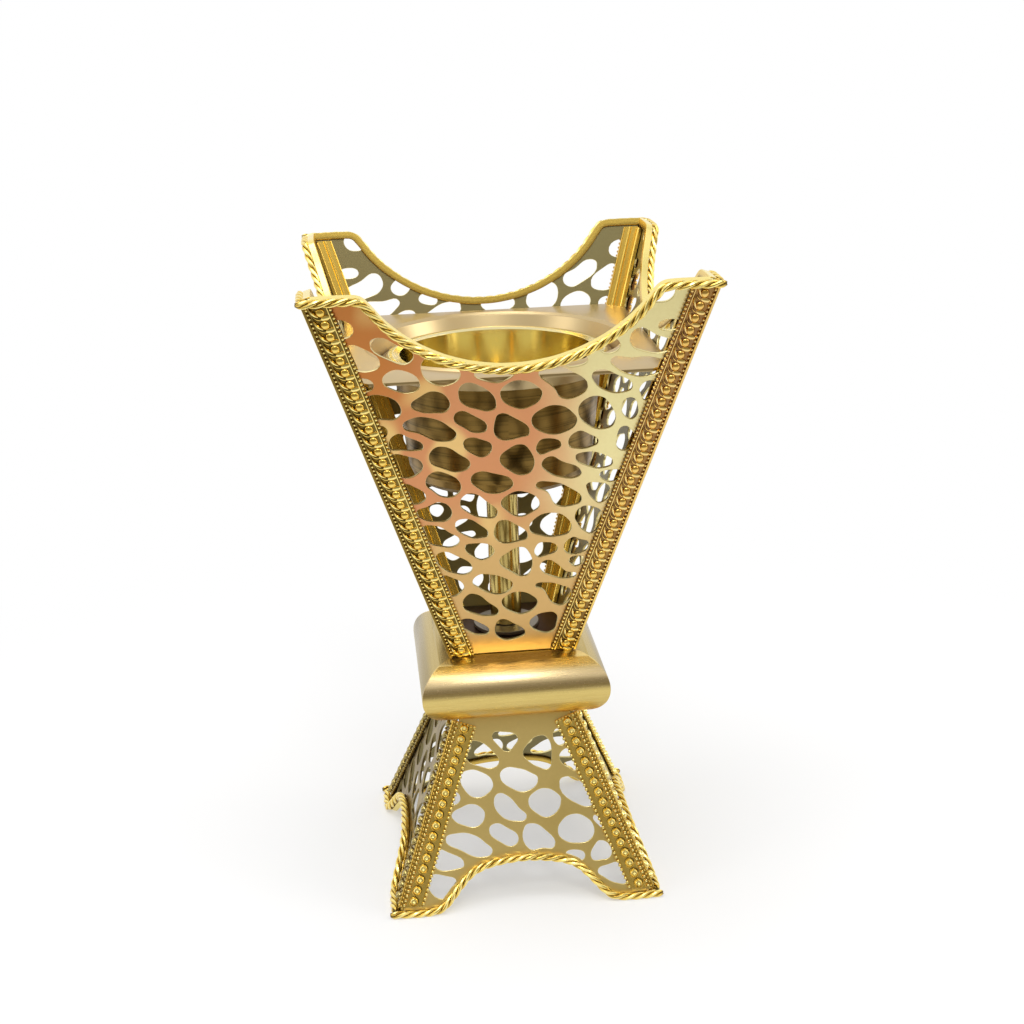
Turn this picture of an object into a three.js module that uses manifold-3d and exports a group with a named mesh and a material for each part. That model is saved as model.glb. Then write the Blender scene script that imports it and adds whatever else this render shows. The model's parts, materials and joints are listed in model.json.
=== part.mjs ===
// Mabkhara: a brass incense burner with a pierced square body that flares upwards,
// a pillow collar, a pierced base on four feet, and a lift-out charcoal cup.
// Millimetres, +Z up. The front face looks along -Y, and the origin is on the floor
// under the middle of the burner.

import * as THREE from 'three';
import { mergeVertices } from 'three/addons/utils/BufferGeometryUtils.js';
import Module from 'manifold-3d';

// Overall sizes
const HEIGHT = 211.7;          // floor to the top of the rope on the horns
const BASE_HEIGHT = 60.2;      // floor to the top edge of the base panels
const COLLAR_HEIGHT = 21.3;    // the pillow between base and body
const BODY_TOP_HALF = 59.2;    // half width over the body panels at full height
const NECK_HALF = 19.2;        // half width over the panels, above and below the collar
const FOOT_HALF = 42.8;        // half width over the base panels at the floor
const SHEET = 0.8;             // pierced sheet
const SEAT_GAP = 0.3;          // solder gap between neighbouring pieces
const OVERRUN = 5;             // how far a cutting tool runs past what it cuts

// Beaded strips on the corners and smooth angles inside them
const STRIP_WIDTH = 7.9;
const STRIP_THICKNESS = 1.2;
const STRIP_END_DROP = 1.6;    // how far the base strips stop below the collar
const ANGLE_LEG = 4.6;
const ANGLE_THICKNESS = 0.8;

// Rope trim and the edges that it follows
const ROPE_RADIUS = 1.45;
const ROPE_FLAT = 0.2;         // how much of the rope's round the feet have lost to wear
const ROPE_SIDES = 6;
const RIM = 1;                 // bare sheet left behind the rope and along the other edges
const HORN_FLAT = 13.37;       // body's corner to where the horn starts to round off
const SCALLOP_DEPTH = 25;
const HORN_FILLET = 5;
const ARCH_RISE = 15.4;
const ARCH_RADIUS = 50;
const ARCH_CROWN_HALF = 14;
const FOOT_LENGTH = 13.5;
const ARCH_SHOULDER = 8;       // pull of the curve where the arch turns down
const ARCH_ANKLE = 5.5;        // pull of the curve where it runs out on the foot

// Collar
const COLLAR_WALL = 1;

// Tie rod, stem and what they clamp
const ROD_RADIUS = 3;
const ROD_PROUD = 1.2;
const NUT_FLATS = 10;
const NUT_HEIGHT = 5;
const WASHER_RADIUS = 9;
const WASHER_THICKNESS = 1.2;
const PLATE = 1.2;
const BASE_PLATE_DROP = 1.8;   // base top plate below the panels' top edge
const FLOOR_PLATE_RISE = 0.8;  // floor plate above the panels' bottom edge
const STEM_RADIUS = 5.25;
const STEM_WALL = 0.9;
const FLANGE_RADIUS = 11;

// Tray, cup holder and charcoal cup, from the tray's edge inwards
const TRAY_DROP = 28.5;        // top of the horns to the tray
const TRAY_SHEET = 1;
const TRAY_CORNER_PLAY = 1.2;  // room between the tray's cut corners and the inner angles
const TRAY_FLAT = 6.96;        // tray's edge to the middle of the bead
const BEAD_HALF = 0.9;
const BEAD_RISE = 0.8;
const STEP_INSET = 1.4;        // middle of the bead to the top of the step
const STEP_SLOPE = 2.4;        // how far the step leans inwards
const LEDGE_DROP = 5.9;
const FLANGE_PLAY = 0.6;
const HOLDER_FLANGE = 3.7;
const HOLDER_WALL = 0.9;
const HOLDER_DEPTH = 44.5;     // tray to the bottom of the holder
const HOLDER_TAPER = 3.3;      // how far the holder's side leans inwards
const HOLDER_ROUND = 6.1;      // width of the round between floor and side
const HOLDER_CURVE = 9;        // height of that round
const CUP_PLAY = 0.6;
const CUP_RIM_LAP = 1.3;       // how far the rim's underside reaches over the holder's flange
const CUP_RIM_HALF = 0.75;
const CUP_DEPTH = 28;
const CUP_WALL = 0.9;
const CUP_ROUND = 11.9;
const CUP_CURVE = 13;

// Roundness
const TURNED_SIDES = 28;
const ROD_SIDES = 12;
const SCALLOP_STEPS = 12;
const FILLET_STEPS = 3;
const OGEE_STEPS = 6;
const CROWN_STEPS = 6;
const COLLAR_STEPS = 10;
const CURVE_STEPS = 4;

// The pierced pattern. Each row is one hole: its points go round the hole, and each point
// is a share of the local half width and a share of the panel's slant height.
const bodyHoleShares = [
  [[-0.93, 0.92], [-0.87, 0.943], [-0.8, 0.914], [-0.88, 0.897]],
  [[-0.91, 0.85], [-0.85, 0.88], [-0.79, 0.873], [-0.72, 0.829], [-0.78, 0.814], [-0.88, 0.824]],
  [[-0.737, 0.884], [-0.69, 0.895], [-0.6, 0.873], [-0.53, 0.85],
    [-0.57, 0.828], [-0.65, 0.836], [-0.7, 0.863]],
  [[-0.733, 0.785], [-0.7, 0.806], [-0.61, 0.812], [-0.53, 0.773], [-0.58, 0.756], [-0.69, 0.765]],
  [[-0.505, 0.81], [-0.47, 0.838], [-0.38, 0.835], [-0.293, 0.795], [-0.35, 0.771], [-0.46, 0.775]],
  [[-0.215, 0.797], [-0.1, 0.803], [0.01, 0.797], [-0.05, 0.771], [-0.13, 0.771]],
  [[-0.9, 0.785], [-0.85, 0.798], [-0.79, 0.777], [-0.86, 0.763]],
  [[-0.91, 0.72], [-0.86, 0.748], [-0.76, 0.752], [-0.675, 0.72],
    [-0.71, 0.692], [-0.8, 0.69], [-0.88, 0.698]],
  [[-0.61, 0.722], [-0.55, 0.742], [-0.455, 0.755], [-0.38, 0.73],
    [-0.4, 0.704], [-0.48, 0.7], [-0.57, 0.706]],
  [[-0.318, 0.735], [-0.29, 0.768], [-0.2, 0.765], [-0.1, 0.708],
    [-0.13, 0.698], [-0.22, 0.704], [-0.3, 0.72]],
  [[-0.073, 0.738], [-0.02, 0.766], [0.06, 0.77], [0.14, 0.755],
    [0.178, 0.732], [0.09, 0.7], [0.02, 0.701]],
  [[0.15, 0.795], [0.22, 0.803], [0.34, 0.786], [0.445, 0.748],
    [0.4, 0.723], [0.3, 0.72], [0.25, 0.745]],
  [[0.46, 0.778], [0.5, 0.787], [0.6, 0.773], [0.718, 0.739],
    [0.66, 0.725], [0.56, 0.733], [0.48, 0.757]],
  [[0.46, 0.85], [0.5, 0.868], [0.56, 0.86], [0.585, 0.842], [0.54, 0.826], [0.48, 0.835]],
  [[0.626, 0.865], [0.66, 0.886], [0.76, 0.868], [0.88, 0.838],
    [0.84, 0.822], [0.72, 0.828], [0.65, 0.843]],
  [[0.76, 0.89], [0.82, 0.903], [0.88, 0.89], [0.81, 0.876]],
  [[0.695, 0.953], [0.735, 0.981], [0.78, 0.98], [0.79, 0.957], [0.74, 0.946]],
  [[0.3, 0.806], [0.36, 0.828], [0.42, 0.815], [0.38, 0.8]],
  [[0.55, 0.812], [0.66, 0.813], [0.8, 0.81], [0.88, 0.79],
    [0.8, 0.764], [0.69, 0.769], [0.59, 0.79]],
  [[0.765, 0.733], [0.81, 0.752], [0.88, 0.735], [0.86, 0.705], [0.82, 0.702], [0.785, 0.718]],
  [[0.413, 0.685], [0.45, 0.714], [0.54, 0.718], [0.6, 0.7],
    [0.667, 0.648], [0.62, 0.633], [0.5, 0.644]],
  [[0.685, 0.7], [0.735, 0.711], [0.785, 0.69], [0.795, 0.66], [0.76, 0.655]],
  [[0.121, 0.665], [0.19, 0.696], [0.29, 0.701], [0.37, 0.684],
    [0.417, 0.657], [0.35, 0.631], [0.22, 0.63]],
  [[0.71, 0.61], [0.735, 0.637], [0.81, 0.62], [0.85, 0.6], [0.82, 0.573], [0.75, 0.576]],
  [[0.387, 0.595], [0.43, 0.63], [0.52, 0.62], [0.59, 0.6], [0.54, 0.586], [0.45, 0.584]],
  [[0.178, 0.608], [0.23, 0.616], [0.335, 0.598], [0.26, 0.581], [0.185, 0.576]],
  [[-0.09, 0.568], [-0.03, 0.593], [0.06, 0.604], [0.11, 0.592],
    [0.148, 0.535], [0.08, 0.521], [-0.02, 0.535]],
  [[-0.111, 0.67], [-0.08, 0.688], [0, 0.678], [0.112, 0.632], [0.06, 0.624], [-0.095, 0.624]],
  [[-0.368, 0.682], [-0.33, 0.7], [-0.25, 0.689], [-0.166, 0.65], [-0.24, 0.642], [-0.31, 0.657]],
  [[-0.693, 0.67], [-0.63, 0.688], [-0.52, 0.688], [-0.41, 0.664],
    [-0.37, 0.635], [-0.47, 0.624], [-0.6, 0.648]],
  [[-0.885, 0.658], [-0.83, 0.674], [-0.8, 0.657], [-0.85, 0.642]],
  [[-0.82, 0.614], [-0.75, 0.65], [-0.68, 0.64], [-0.6, 0.61], [-0.66, 0.604], [-0.74, 0.607]],
  [[-0.87, 0.565], [-0.83, 0.594], [-0.73, 0.591], [-0.633, 0.565], [-0.71, 0.536], [-0.8, 0.533]],
  [[-0.578, 0.573], [-0.54, 0.604], [-0.47, 0.61], [-0.37, 0.588],
    [-0.301, 0.557], [-0.38, 0.54], [-0.5, 0.552]],
  [[-0.648, 0.512], [-0.58, 0.542], [-0.48, 0.537], [-0.39, 0.503],
    [-0.44, 0.476], [-0.54, 0.473], [-0.61, 0.492]],
  [[-0.311, 0.515], [-0.27, 0.534], [-0.14, 0.53], [0.006, 0.5],
    [-0.06, 0.479], [-0.17, 0.475], [-0.27, 0.494]],
  [[-0.33, 0.614], [-0.3, 0.628], [-0.2, 0.622], [-0.14, 0.605], [-0.195, 0.577], [-0.27, 0.585]],
  [[0.211, 0.549], [0.27, 0.567], [0.35, 0.553], [0.515, 0.52],
    [0.5, 0.508], [0.36, 0.509], [0.25, 0.528]],
  [[0.45, 0.563], [0.51, 0.573], [0.64, 0.565], [0.735, 0.54], [0.69, 0.528], [0.56, 0.534]],
  [[0.66, 0.512], [0.72, 0.52], [0.84, 0.51], [0.8, 0.489], [0.71, 0.493]],
  [[-0.87, 0.49], [-0.82, 0.514], [-0.74, 0.506], [-0.675, 0.475], [-0.74, 0.459], [-0.84, 0.463]],
  [[-0.79, 0.434], [-0.68, 0.449], [-0.575, 0.459], [-0.5, 0.435],
    [-0.54, 0.409], [-0.64, 0.405], [-0.76, 0.416]],
  [[-0.37, 0.475], [-0.3, 0.477], [-0.22, 0.457], [-0.13, 0.413],
    [-0.26, 0.409], [-0.37, 0.426], [-0.42, 0.448]],
  [[-0.093, 0.447], [-0.03, 0.469], [0.07, 0.476], [0.225, 0.437],
    [0.15, 0.413], [0.06, 0.405], [-0.05, 0.425]],
  [[0.18, 0.492], [0.3, 0.497], [0.44, 0.479], [0.567, 0.441],
    [0.5, 0.428], [0.37, 0.43], [0.28, 0.468]],
  [[0.58, 0.485], [0.65, 0.488], [0.77, 0.472], [0.735, 0.43], [0.66, 0.442], [0.59, 0.47]],
  [[-0.785, 0.39], [-0.66, 0.393], [-0.56, 0.372], [-0.483, 0.347],
    [-0.54, 0.331], [-0.66, 0.333], [-0.77, 0.348]],
  [[-0.49, 0.397], [-0.4, 0.408], [-0.29, 0.39], [-0.22, 0.357], [-0.28, 0.351], [-0.39, 0.355]],
  [[-0.145, 0.385], [-0.09, 0.398], [0.02, 0.385], [0.14, 0.345], [0.08, 0.336], [-0.13, 0.338]],
  [[0.155, 0.365], [0.21, 0.4], [0.33, 0.41], [0.46, 0.396],
    [0.53, 0.356], [0.42, 0.342], [0.26, 0.347]],
  [[0.54, 0.395], [0.58, 0.422], [0.68, 0.42], [0.76, 0.405],
    [0.735, 0.344], [0.66, 0.352], [0.57, 0.378]],
  [[-0.44, 0.33], [-0.38, 0.336], [-0.175, 0.315], [-0.28, 0.287], [-0.37, 0.295]],
  [[-0.745, 0.303], [-0.66, 0.317], [-0.55, 0.304], [-0.41, 0.265],
    [-0.46, 0.249], [-0.6, 0.252], [-0.72, 0.272]],
  [[-0.13, 0.28], [-0.04, 0.304], [0.09, 0.317], [0.15, 0.305],
    [0.2, 0.25], [0.14, 0.231], [-0.02, 0.247]],
  [[0.235, 0.32], [0.29, 0.327], [0.44, 0.307], [0.32, 0.287], [0.245, 0.286]],
  [[0.56, 0.336], [0.63, 0.33], [0.735, 0.316], [0.71, 0.292], [0.515, 0.297]],
  [[0.29, 0.262], [0.36, 0.274], [0.45, 0.263], [0.58, 0.236],
    [0.7, 0.226], [0.6, 0.215], [0.42, 0.226], [0.31, 0.243]],
  [[0.58, 0.272], [0.66, 0.281], [0.73, 0.272], [0.68, 0.25], [0.61, 0.257]],
  [[-0.74, 0.245], [-0.64, 0.239], [-0.535, 0.212], [-0.58, 0.195], [-0.71, 0.184]],
  [[-0.435, 0.22], [-0.36, 0.242], [-0.24, 0.242], [-0.1, 0.23],
    [0.005, 0.208], [-0.1, 0.182], [-0.26, 0.186], [-0.38, 0.205]],
  [[0.26, 0.2], [0.4, 0.206], [0.55, 0.196], [0.69, 0.177],
    [0.65, 0.136], [0.52, 0.14], [0.43, 0.164], [0.35, 0.187]],
  [[-0.6, 0.147], [-0.51, 0.185], [-0.42, 0.185], [-0.3, 0.16],
    [-0.18, 0.122], [-0.3, 0.116], [-0.48, 0.125]],
  [[-0.13, 0.155], [-0.05, 0.177], [0.08, 0.184], [0.22, 0.172],
    [0.31, 0.146], [0.16, 0.116], [0.02, 0.121]],
  [[-0.68, 0.106], [-0.6, 0.112], [-0.46, 0.1], [-0.33, 0.065], [-0.46, 0.059], [-0.58, 0.067]],
  [[-0.215, 0.092], [-0.14, 0.103], [0, 0.09], [0.185, 0.055], [0.1, 0.043], [-0.18, 0.043]],
  [[0.235, 0.085], [0.3, 0.106], [0.42, 0.115], [0.56, 0.111],
    [0.61, 0.078], [0.57, 0.054], [0.38, 0.057]],
];
const baseHoleShares = [
  [[-0.66, 0.853], [-0.58, 0.862], [-0.45, 0.83], [-0.3, 0.79],
    [-0.235, 0.745], [-0.3, 0.717], [-0.45, 0.726], [-0.66, 0.775]],
  [[-0.335, 0.89], [-0.2, 0.897], [0.02, 0.862], [-0.04, 0.82], [-0.12, 0.795], [-0.25, 0.83]],
  [[0.075, 0.775], [0.15, 0.825], [0.3, 0.862], [0.42, 0.855],
    [0.425, 0.74], [0.37, 0.692], [0.25, 0.703], [0.13, 0.74]],
  [[0.575, 0.89], [0.63, 0.885], [0.635, 0.812], [0.545, 0.814]],
  [[0.53, 0.745], [0.6, 0.78], [0.69, 0.785], [0.7, 0.675], [0.6, 0.69]],
  [[-0.69, 0.69], [-0.62, 0.712], [-0.48, 0.704], [-0.3, 0.635],
    [-0.35, 0.588], [-0.48, 0.57], [-0.6, 0.605]],
  [[-0.22, 0.67], [-0.17, 0.707], [0, 0.703], [0.14, 0.677],
    [0.22, 0.642], [0.08, 0.583], [-0.08, 0.602]],
  [[-0.76, 0.6], [-0.69, 0.6], [-0.655, 0.555], [-0.76, 0.55]],
  [[-0.71, 0.49], [-0.62, 0.525], [-0.52, 0.538], [-0.42, 0.517],
    [-0.37, 0.48], [-0.43, 0.423], [-0.58, 0.435], [-0.68, 0.465]],
  [[-0.28, 0.555], [-0.23, 0.582], [-0.14, 0.567], [-0.02, 0.5],
    [0.05, 0.447], [-0.06, 0.434], [-0.22, 0.475]],
  [[0.085, 0.53], [0.18, 0.58], [0.29, 0.59], [0.39, 0.565],
    [0.43, 0.525], [0.28, 0.443], [0.16, 0.465]],
  [[0.46, 0.62], [0.57, 0.642], [0.7, 0.605], [0.74, 0.55],
    [0.74, 0.49], [0.6, 0.495], [0.53, 0.56]],
  [[-0.725, 0.37], [-0.62, 0.394], [-0.47, 0.38], [-0.35, 0.335],
    [-0.28, 0.285], [-0.38, 0.263], [-0.56, 0.305]],
  [[-0.318, 0.4], [-0.26, 0.429], [-0.15, 0.404], [-0.04, 0.345], [-0.09, 0.308], [-0.2, 0.33]],
  [[0.025, 0.4], [0.1, 0.415], [0.21, 0.38], [0.28, 0.29], [0.17, 0.285], [0.05, 0.287]],
  [[0.335, 0.36], [0.4, 0.42], [0.52, 0.446], [0.62, 0.43],
    [0.68, 0.37], [0.62, 0.312], [0.48, 0.297], [0.37, 0.32]],
  [[-0.78, 0.315], [-0.68, 0.3], [-0.52, 0.23], [-0.56, 0.215], [-0.78, 0.237]],
  [[-0.8, 0.185], [-0.66, 0.18], [-0.56, 0.148], [-0.6, 0.1], [-0.655, 0.063], [-0.8, 0.14]],
  [[0.58, 0.21], [0.65, 0.285], [0.7, 0.3], [0.77, 0.262], [0.74, 0.213], [0.66, 0.2]],
  [[0.37, 0.25], [0.46, 0.262], [0.53, 0.235], [0.49, 0.205]],
  [[0.6, 0.145], [0.7, 0.173], [0.8, 0.175], [0.8, 0.075], [0.72, 0.075], [0.64, 0.108]],
  [[0.715, 0.43], [0.76, 0.41], [0.77, 0.365], [0.73, 0.38]],
];

// Values worked out from the driving dimensions
const QUARTER_TURN = Math.PI / 2;
const BODY_Z = BASE_HEIGHT + COLLAR_HEIGHT + 2 * SEAT_GAP;
const ROPE_DEPTH = SEAT_GAP + ROPE_RADIUS;

// A four-sided taper: half widths at two heights, and the lean of its faces.
function taper(bottomZ, bottomHalf, topZ, topHalf) {
  const rise = topZ - bottomZ;
  const spread = (topHalf - bottomHalf) / rise;
  const lean = Math.atan(spread);
  return {
    bottomZ, bottomHalf, topZ, spread, lean,
    slant: rise / Math.cos(lean),
    halfAt: (z) => bottomHalf + spread * (z - bottomZ),
    innerHalfAt: (z) => bottomHalf + spread * (z - bottomZ) - SHEET / Math.cos(lean),
    halfAtSlant: (v) => bottomHalf + Math.sin(lean) * v,
  };
}

const body = taper(BODY_Z, NECK_HALF, HEIGHT, BODY_TOP_HALF);
const base = taper(0, FOOT_HALF, BASE_HEIGHT, NECK_HALF);

const COLLAR_FLAT_HALF = NECK_HALF + STRIP_THICKNESS;
const TRAY_Z = HEIGHT - TRAY_DROP;
const LEDGE_Z = TRAY_Z - LEDGE_DROP;
const TRAY_HALF = body.innerHalfAt(TRAY_Z - TRAY_SHEET) - SEAT_GAP;
const BEAD_RADIUS = TRAY_HALF - TRAY_FLAT;
const STEP_RADIUS = BEAD_RADIUS - STEP_INSET;
const LEDGE_RADIUS = STEP_RADIUS - STEP_SLOPE;
const HOLDER_FLANGE_RADIUS = LEDGE_RADIUS - FLANGE_PLAY;
const HOLDER_TOP_RADIUS = HOLDER_FLANGE_RADIUS - HOLDER_FLANGE;
const HOLDER_LOW_RADIUS = HOLDER_TOP_RADIUS - HOLDER_TAPER;
const HOLDER_FLOOR_RADIUS = HOLDER_LOW_RADIUS - HOLDER_ROUND;
const HOLDER_BOTTOM_Z = TRAY_Z - HOLDER_DEPTH;
const HOLDER_TOP_Z = LEDGE_Z + SEAT_GAP + HOLDER_WALL;
const CUP_RIM_RADIUS = HOLDER_TOP_RADIUS + CUP_RIM_LAP;
const CUP_TOP_RADIUS = HOLDER_TOP_RADIUS - HOLDER_WALL - CUP_PLAY;
const CUP_FLOOR_RADIUS = CUP_TOP_RADIUS - CUP_ROUND;

// Solids for cutting and joining
const wasm = await Module();
wasm.setup();

function toSolid(geometry) {
  const bare = geometry.index ? geometry.toNonIndexed() : geometry.clone();
  bare.deleteAttribute('normal');
  bare.deleteAttribute('uv');
  const merged = mergeVertices(bare, SEAT_GAP / 1000);
  return new wasm.Manifold(new wasm.Mesh({
    numProp: 3,
    vertProperties: new Float32Array(merged.attributes.position.array),
    triVerts: new Uint32Array(merged.index.array),
  }));
}

function toGeometry(solid) {
  const mesh = solid.getMesh();
  const geometry = new THREE.BufferGeometry();
  geometry.setAttribute('position', new THREE.BufferAttribute(mesh.vertProperties, 3));
  geometry.setIndex(new THREE.BufferAttribute(mesh.triVerts, 1));
  const flat = geometry.toNonIndexed();
  flat.computeVertexNormals();
  return flat;
}

// A lathe profile is a list of radius and height; the turned piece stands on +Z.
function turned(profile, sides = TURNED_SIDES, start = 0) {
  const points = profile.map(([radius, z]) => new THREE.Vector2(radius, z));
  return new THREE.LatheGeometry(points, sides, start).rotateX(QUARTER_TURN);
}

function prism(points, height, holes = []) {
  const shape = new THREE.Shape(points);
  shape.holes = holes.map((hole) => new THREE.Path(hole));
  return new THREE.ExtrudeGeometry(shape, { depth: height, bevelEnabled: false });
}

function circle(radius, sides = ROD_SIDES) {
  const points = [];
  for (let i = 0; i < sides; i += 1) {
    const angle = (2 * Math.PI * i) / sides;
    points.push(new THREE.Vector2(radius * Math.cos(angle), radius * Math.sin(angle)));
  }
  return points;
}

function square(half, corner = 0) {
  const near = half - corner;
  const points = [[half, near], [near, half], [-near, half], [-half, near],
    [-half, -near], [-near, -half], [near, -half], [half, -near]];
  return points.map(([x, y]) => new THREE.Vector2(x, y));
}

// Finishes
const finishes = {
  copper: { color: 0xcd9560, roughness: 0.32, metalness: 1 },
  gold: { color: 0xd2aa4c, roughness: 0.3, metalness: 1 },
  antique: { color: 0xb98f34, roughness: 0.42, metalness: 1 },
  satin: { color: 0xd0b070, roughness: 0.38, metalness: 1 },
  brushed: { color: 0xc79a3c, roughness: 0.34, metalness: 1 },
  polished: { color: 0xe0b84a, roughness: 0.12, metalness: 1 },
  steel: { color: 0x9a938a, roughness: 0.35, metalness: 1 },
};

function piece(name, geometry, finish) {
  const mesh = new THREE.Mesh(geometry, new THREE.MeshStandardMaterial(finishes[finish]));
  mesh.name = name;
  return mesh;
}

// The rope's line along a body panel's top edge: horn, round corner, scallop, and back.
// Points are across and up the panel, from left to right.
function scallopLine(endHalf) {
  const hornV = (HEIGHT - ROPE_RADIUS - BODY_Z + ROPE_DEPTH * Math.sin(body.lean)) / Math.cos(body.lean);
  const filletS = BODY_TOP_HALF - HORN_FLAT;
  const filletV = hornV - HORN_FILLET;
  const reach = (filletS ** 2 + SCALLOP_DEPTH ** 2) / (2 * SCALLOP_DEPTH);
  const radius = reach - HORN_FILLET;
  const centreV = hornV - SCALLOP_DEPTH + radius;
  const turn = Math.atan2(filletS, centreV - filletV);
  const right = [];
  for (let i = 0; i <= SCALLOP_STEPS / 2; i += 1) {
    const angle = (turn * 2 * i) / SCALLOP_STEPS;
    right.push([radius * Math.sin(angle), centreV - radius * Math.cos(angle)]);
  }
  for (let i = 1; i <= FILLET_STEPS; i += 1) {
    const angle = turn * (1 - i / FILLET_STEPS);
    right.push([filletS - HORN_FILLET * Math.sin(angle), filletV + HORN_FILLET * Math.cos(angle)]);
  }
  right.push([endHalf, hornV]);
  return mirrored(right);
}

// The rope's line along a base panel's bottom edge: foot, ogee, crown of the arch, and back.
function archLine(endHalf) {
  const footV = (ROPE_RADIUS - ROPE_FLAT - ROPE_DEPTH * Math.sin(-base.lean)) / Math.cos(base.lean);
  const drop = ARCH_CROWN_HALF ** 2 / (2 * ARCH_RADIUS);
  const slope = ARCH_CROWN_HALF / ARCH_RADIUS;
  const crownEnd = new THREE.Vector2(ARCH_CROWN_HALF, footV + ARCH_RISE - drop);
  const footEnd = new THREE.Vector2(FOOT_HALF + ROPE_DEPTH - FOOT_LENGTH, footV);
  const ogee = new THREE.CubicBezierCurve(
    crownEnd,
    new THREE.Vector2(crownEnd.x + ARCH_SHOULDER, crownEnd.y - slope * ARCH_SHOULDER),
    new THREE.Vector2(footEnd.x - ARCH_ANKLE, footEnd.y),
    footEnd,
  );
  const right = [];
  for (let i = 0; i < CROWN_STEPS / 2; i += 1) {
    const across = (ARCH_CROWN_HALF * 2 * i) / CROWN_STEPS;
    right.push([across, footV + ARCH_RISE - across ** 2 / (2 * ARCH_RADIUS)]);
  }
  ogee.getPoints(OGEE_STEPS).forEach((point) => right.push([point.x, point.y]));
  right.push([endHalf, footV]);
  return mirrored(right);
}

function mirrored(right) {
  const left = right.slice(1).reverse().map(([s, v]) => [-s, v]);
  return left.concat(right);
}

// A line moved sideways, to its left for a positive distance.
function beside(line, distance) {
  return line.map(([s, v], i) => {
    const before = line[Math.max(i - 1, 0)];
    const after = line[Math.min(i + 1, line.length - 1)];
    const along = new THREE.Vector2(after[0] - before[0], after[1] - before[1]).normalize();
    return [s - distance * along.y, v + distance * along.x];
  });
}

// A run of straight steps through given points, for an extrusion that has a ring at each point.
class Route extends THREE.Curve {
  constructor(points) {
    super();
    this.points = points;
  }

  getPoint(t, target = new THREE.Vector3()) {
    const place = t * (this.points.length - 1);
    const i = Math.min(Math.floor(place), this.points.length - 2);
    return target.lerpVectors(this.points[i], this.points[i + 1], place - i);
  }

  getUtoTmapping(u) {
    return u;
  }
}

function ropeAlong(line) {
  const points = line.map(([s, v]) => new THREE.Vector3(s, v, ROPE_DEPTH));
  return new THREE.ExtrudeGeometry(new THREE.Shape(circle(ROPE_RADIUS, ROPE_SIDES)), {
    steps: points.length - 1,
    extrudePath: new Route(points),
  });
}

// A pierced panel, flat in its own frame: across, up the slant, and outwards.
// The edge line closes the outline; holes stay inside the keep line by the rim.
function piercedPanel(form, edge, keep, straightV, holeShares) {
  const corner = SHEET + SEAT_GAP;
  const outline = (line, margin) => {
    const points = line.map(([s, v]) => {
      const limit = form.halfAtSlant(v) - corner - margin;
      return new THREE.Vector2(Math.max(-limit, Math.min(limit, s)), v);
    });
    const straight = form.halfAtSlant(straightV) - corner - margin;
    const inside = straightV + Math.sign(line[0][1] - straightV) * margin;
    return points.concat([new THREE.Vector2(straight, inside), new THREE.Vector2(-straight, inside)]);
  };
  const outer = form.bottomHalf + SEAT_GAP + STRIP_THICKNESS;
  const holes = holeShares.map((hole) => new THREE.Shape(hole.map(([across, up]) => {
    const half = outer + Math.sin(form.lean) * up * form.slant;
    return new THREE.Vector2(across * half, up * form.slant);
  })));
  const sheet = prism(outline(edge, 0), SHEET).translate(0, 0, -SHEET);
  const cutters = new THREE.ExtrudeGeometry(holes, { depth: SHEET + 2 * OVERRUN, bevelEnabled: false });
  const allowed = prism(outline(keep, RIM), SHEET + 2 * OVERRUN);
  const pattern = toSolid(cutters).intersect(toSolid(allowed)).translate([0, 0, -SHEET - OVERRUN]);
  return toGeometry(toSolid(sheet).subtract(pattern));
}

// A bar along a corner, drawn in plan with the corner of the panels as its zero,
// and leaning with that corner between two heights.
function cornerBar(form, points, fromZ, toZ) {
  const shape = points.map(([x, y]) => new THREE.Vector2(x, y));
  const start = form.halfAt(fromZ);
  const shear = new THREE.Matrix4().set(
    1, 0, form.spread, start,
    0, 1, -form.spread, -start,
    0, 0, 1, fromZ,
    0, 0, 0, 1,
  );
  return prism(shape, toZ - fromZ).applyMatrix4(shear);
}

function stripPlan(form) {
  const seat = SEAT_GAP / Math.cos(form.lean);
  const thick = STRIP_THICKNESS / Math.cos(form.lean);
  const width = STRIP_WIDTH / Math.cos(Math.atan(form.spread * Math.cos(form.lean)));
  return [
    [-width, -seat - thick],
    [thick, -seat - thick],
    [0, -seat],
    [-width, -seat],
  ];
}

function anglePlan(form) {
  const seat = (SHEET + SEAT_GAP) / Math.cos(form.lean);
  const thick = ANGLE_THICKNESS / Math.cos(form.lean);
  return [
    [-seat - ANGLE_LEG, seat],
    [-seat, seat],
    [-seat, seat + ANGLE_LEG],
    [-seat - thick, seat + ANGLE_LEG],
    [-seat - thick, seat + thick],
    [-seat - ANGLE_LEG, seat + thick],
  ];
}

const acrossDiagonal = (points) => points.map(([x, y]) => [-y, -x]);

// Cuts a bar's upper end square to the corner that it follows.
function squareEnd(form, geometry, topZ) {
  const along = new THREE.Vector3(form.spread, -form.spread, 1).normalize();
  const half = form.halfAt(topZ);
  const size = 2 * STRIP_WIDTH + 2 * OVERRUN;
  const block = new THREE.BoxGeometry(size, size, size);
  block.applyQuaternion(new THREE.Quaternion().setFromUnitVectors(new THREE.Vector3(0, 0, 1), along));
  const centre = new THREE.Vector3(half, -half, topZ).addScaledVector(along, size / 2);
  block.translate(centre.x, centre.y, centre.z);
  return toGeometry(toSolid(geometry).subtract(toSolid(block)));
}

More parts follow.
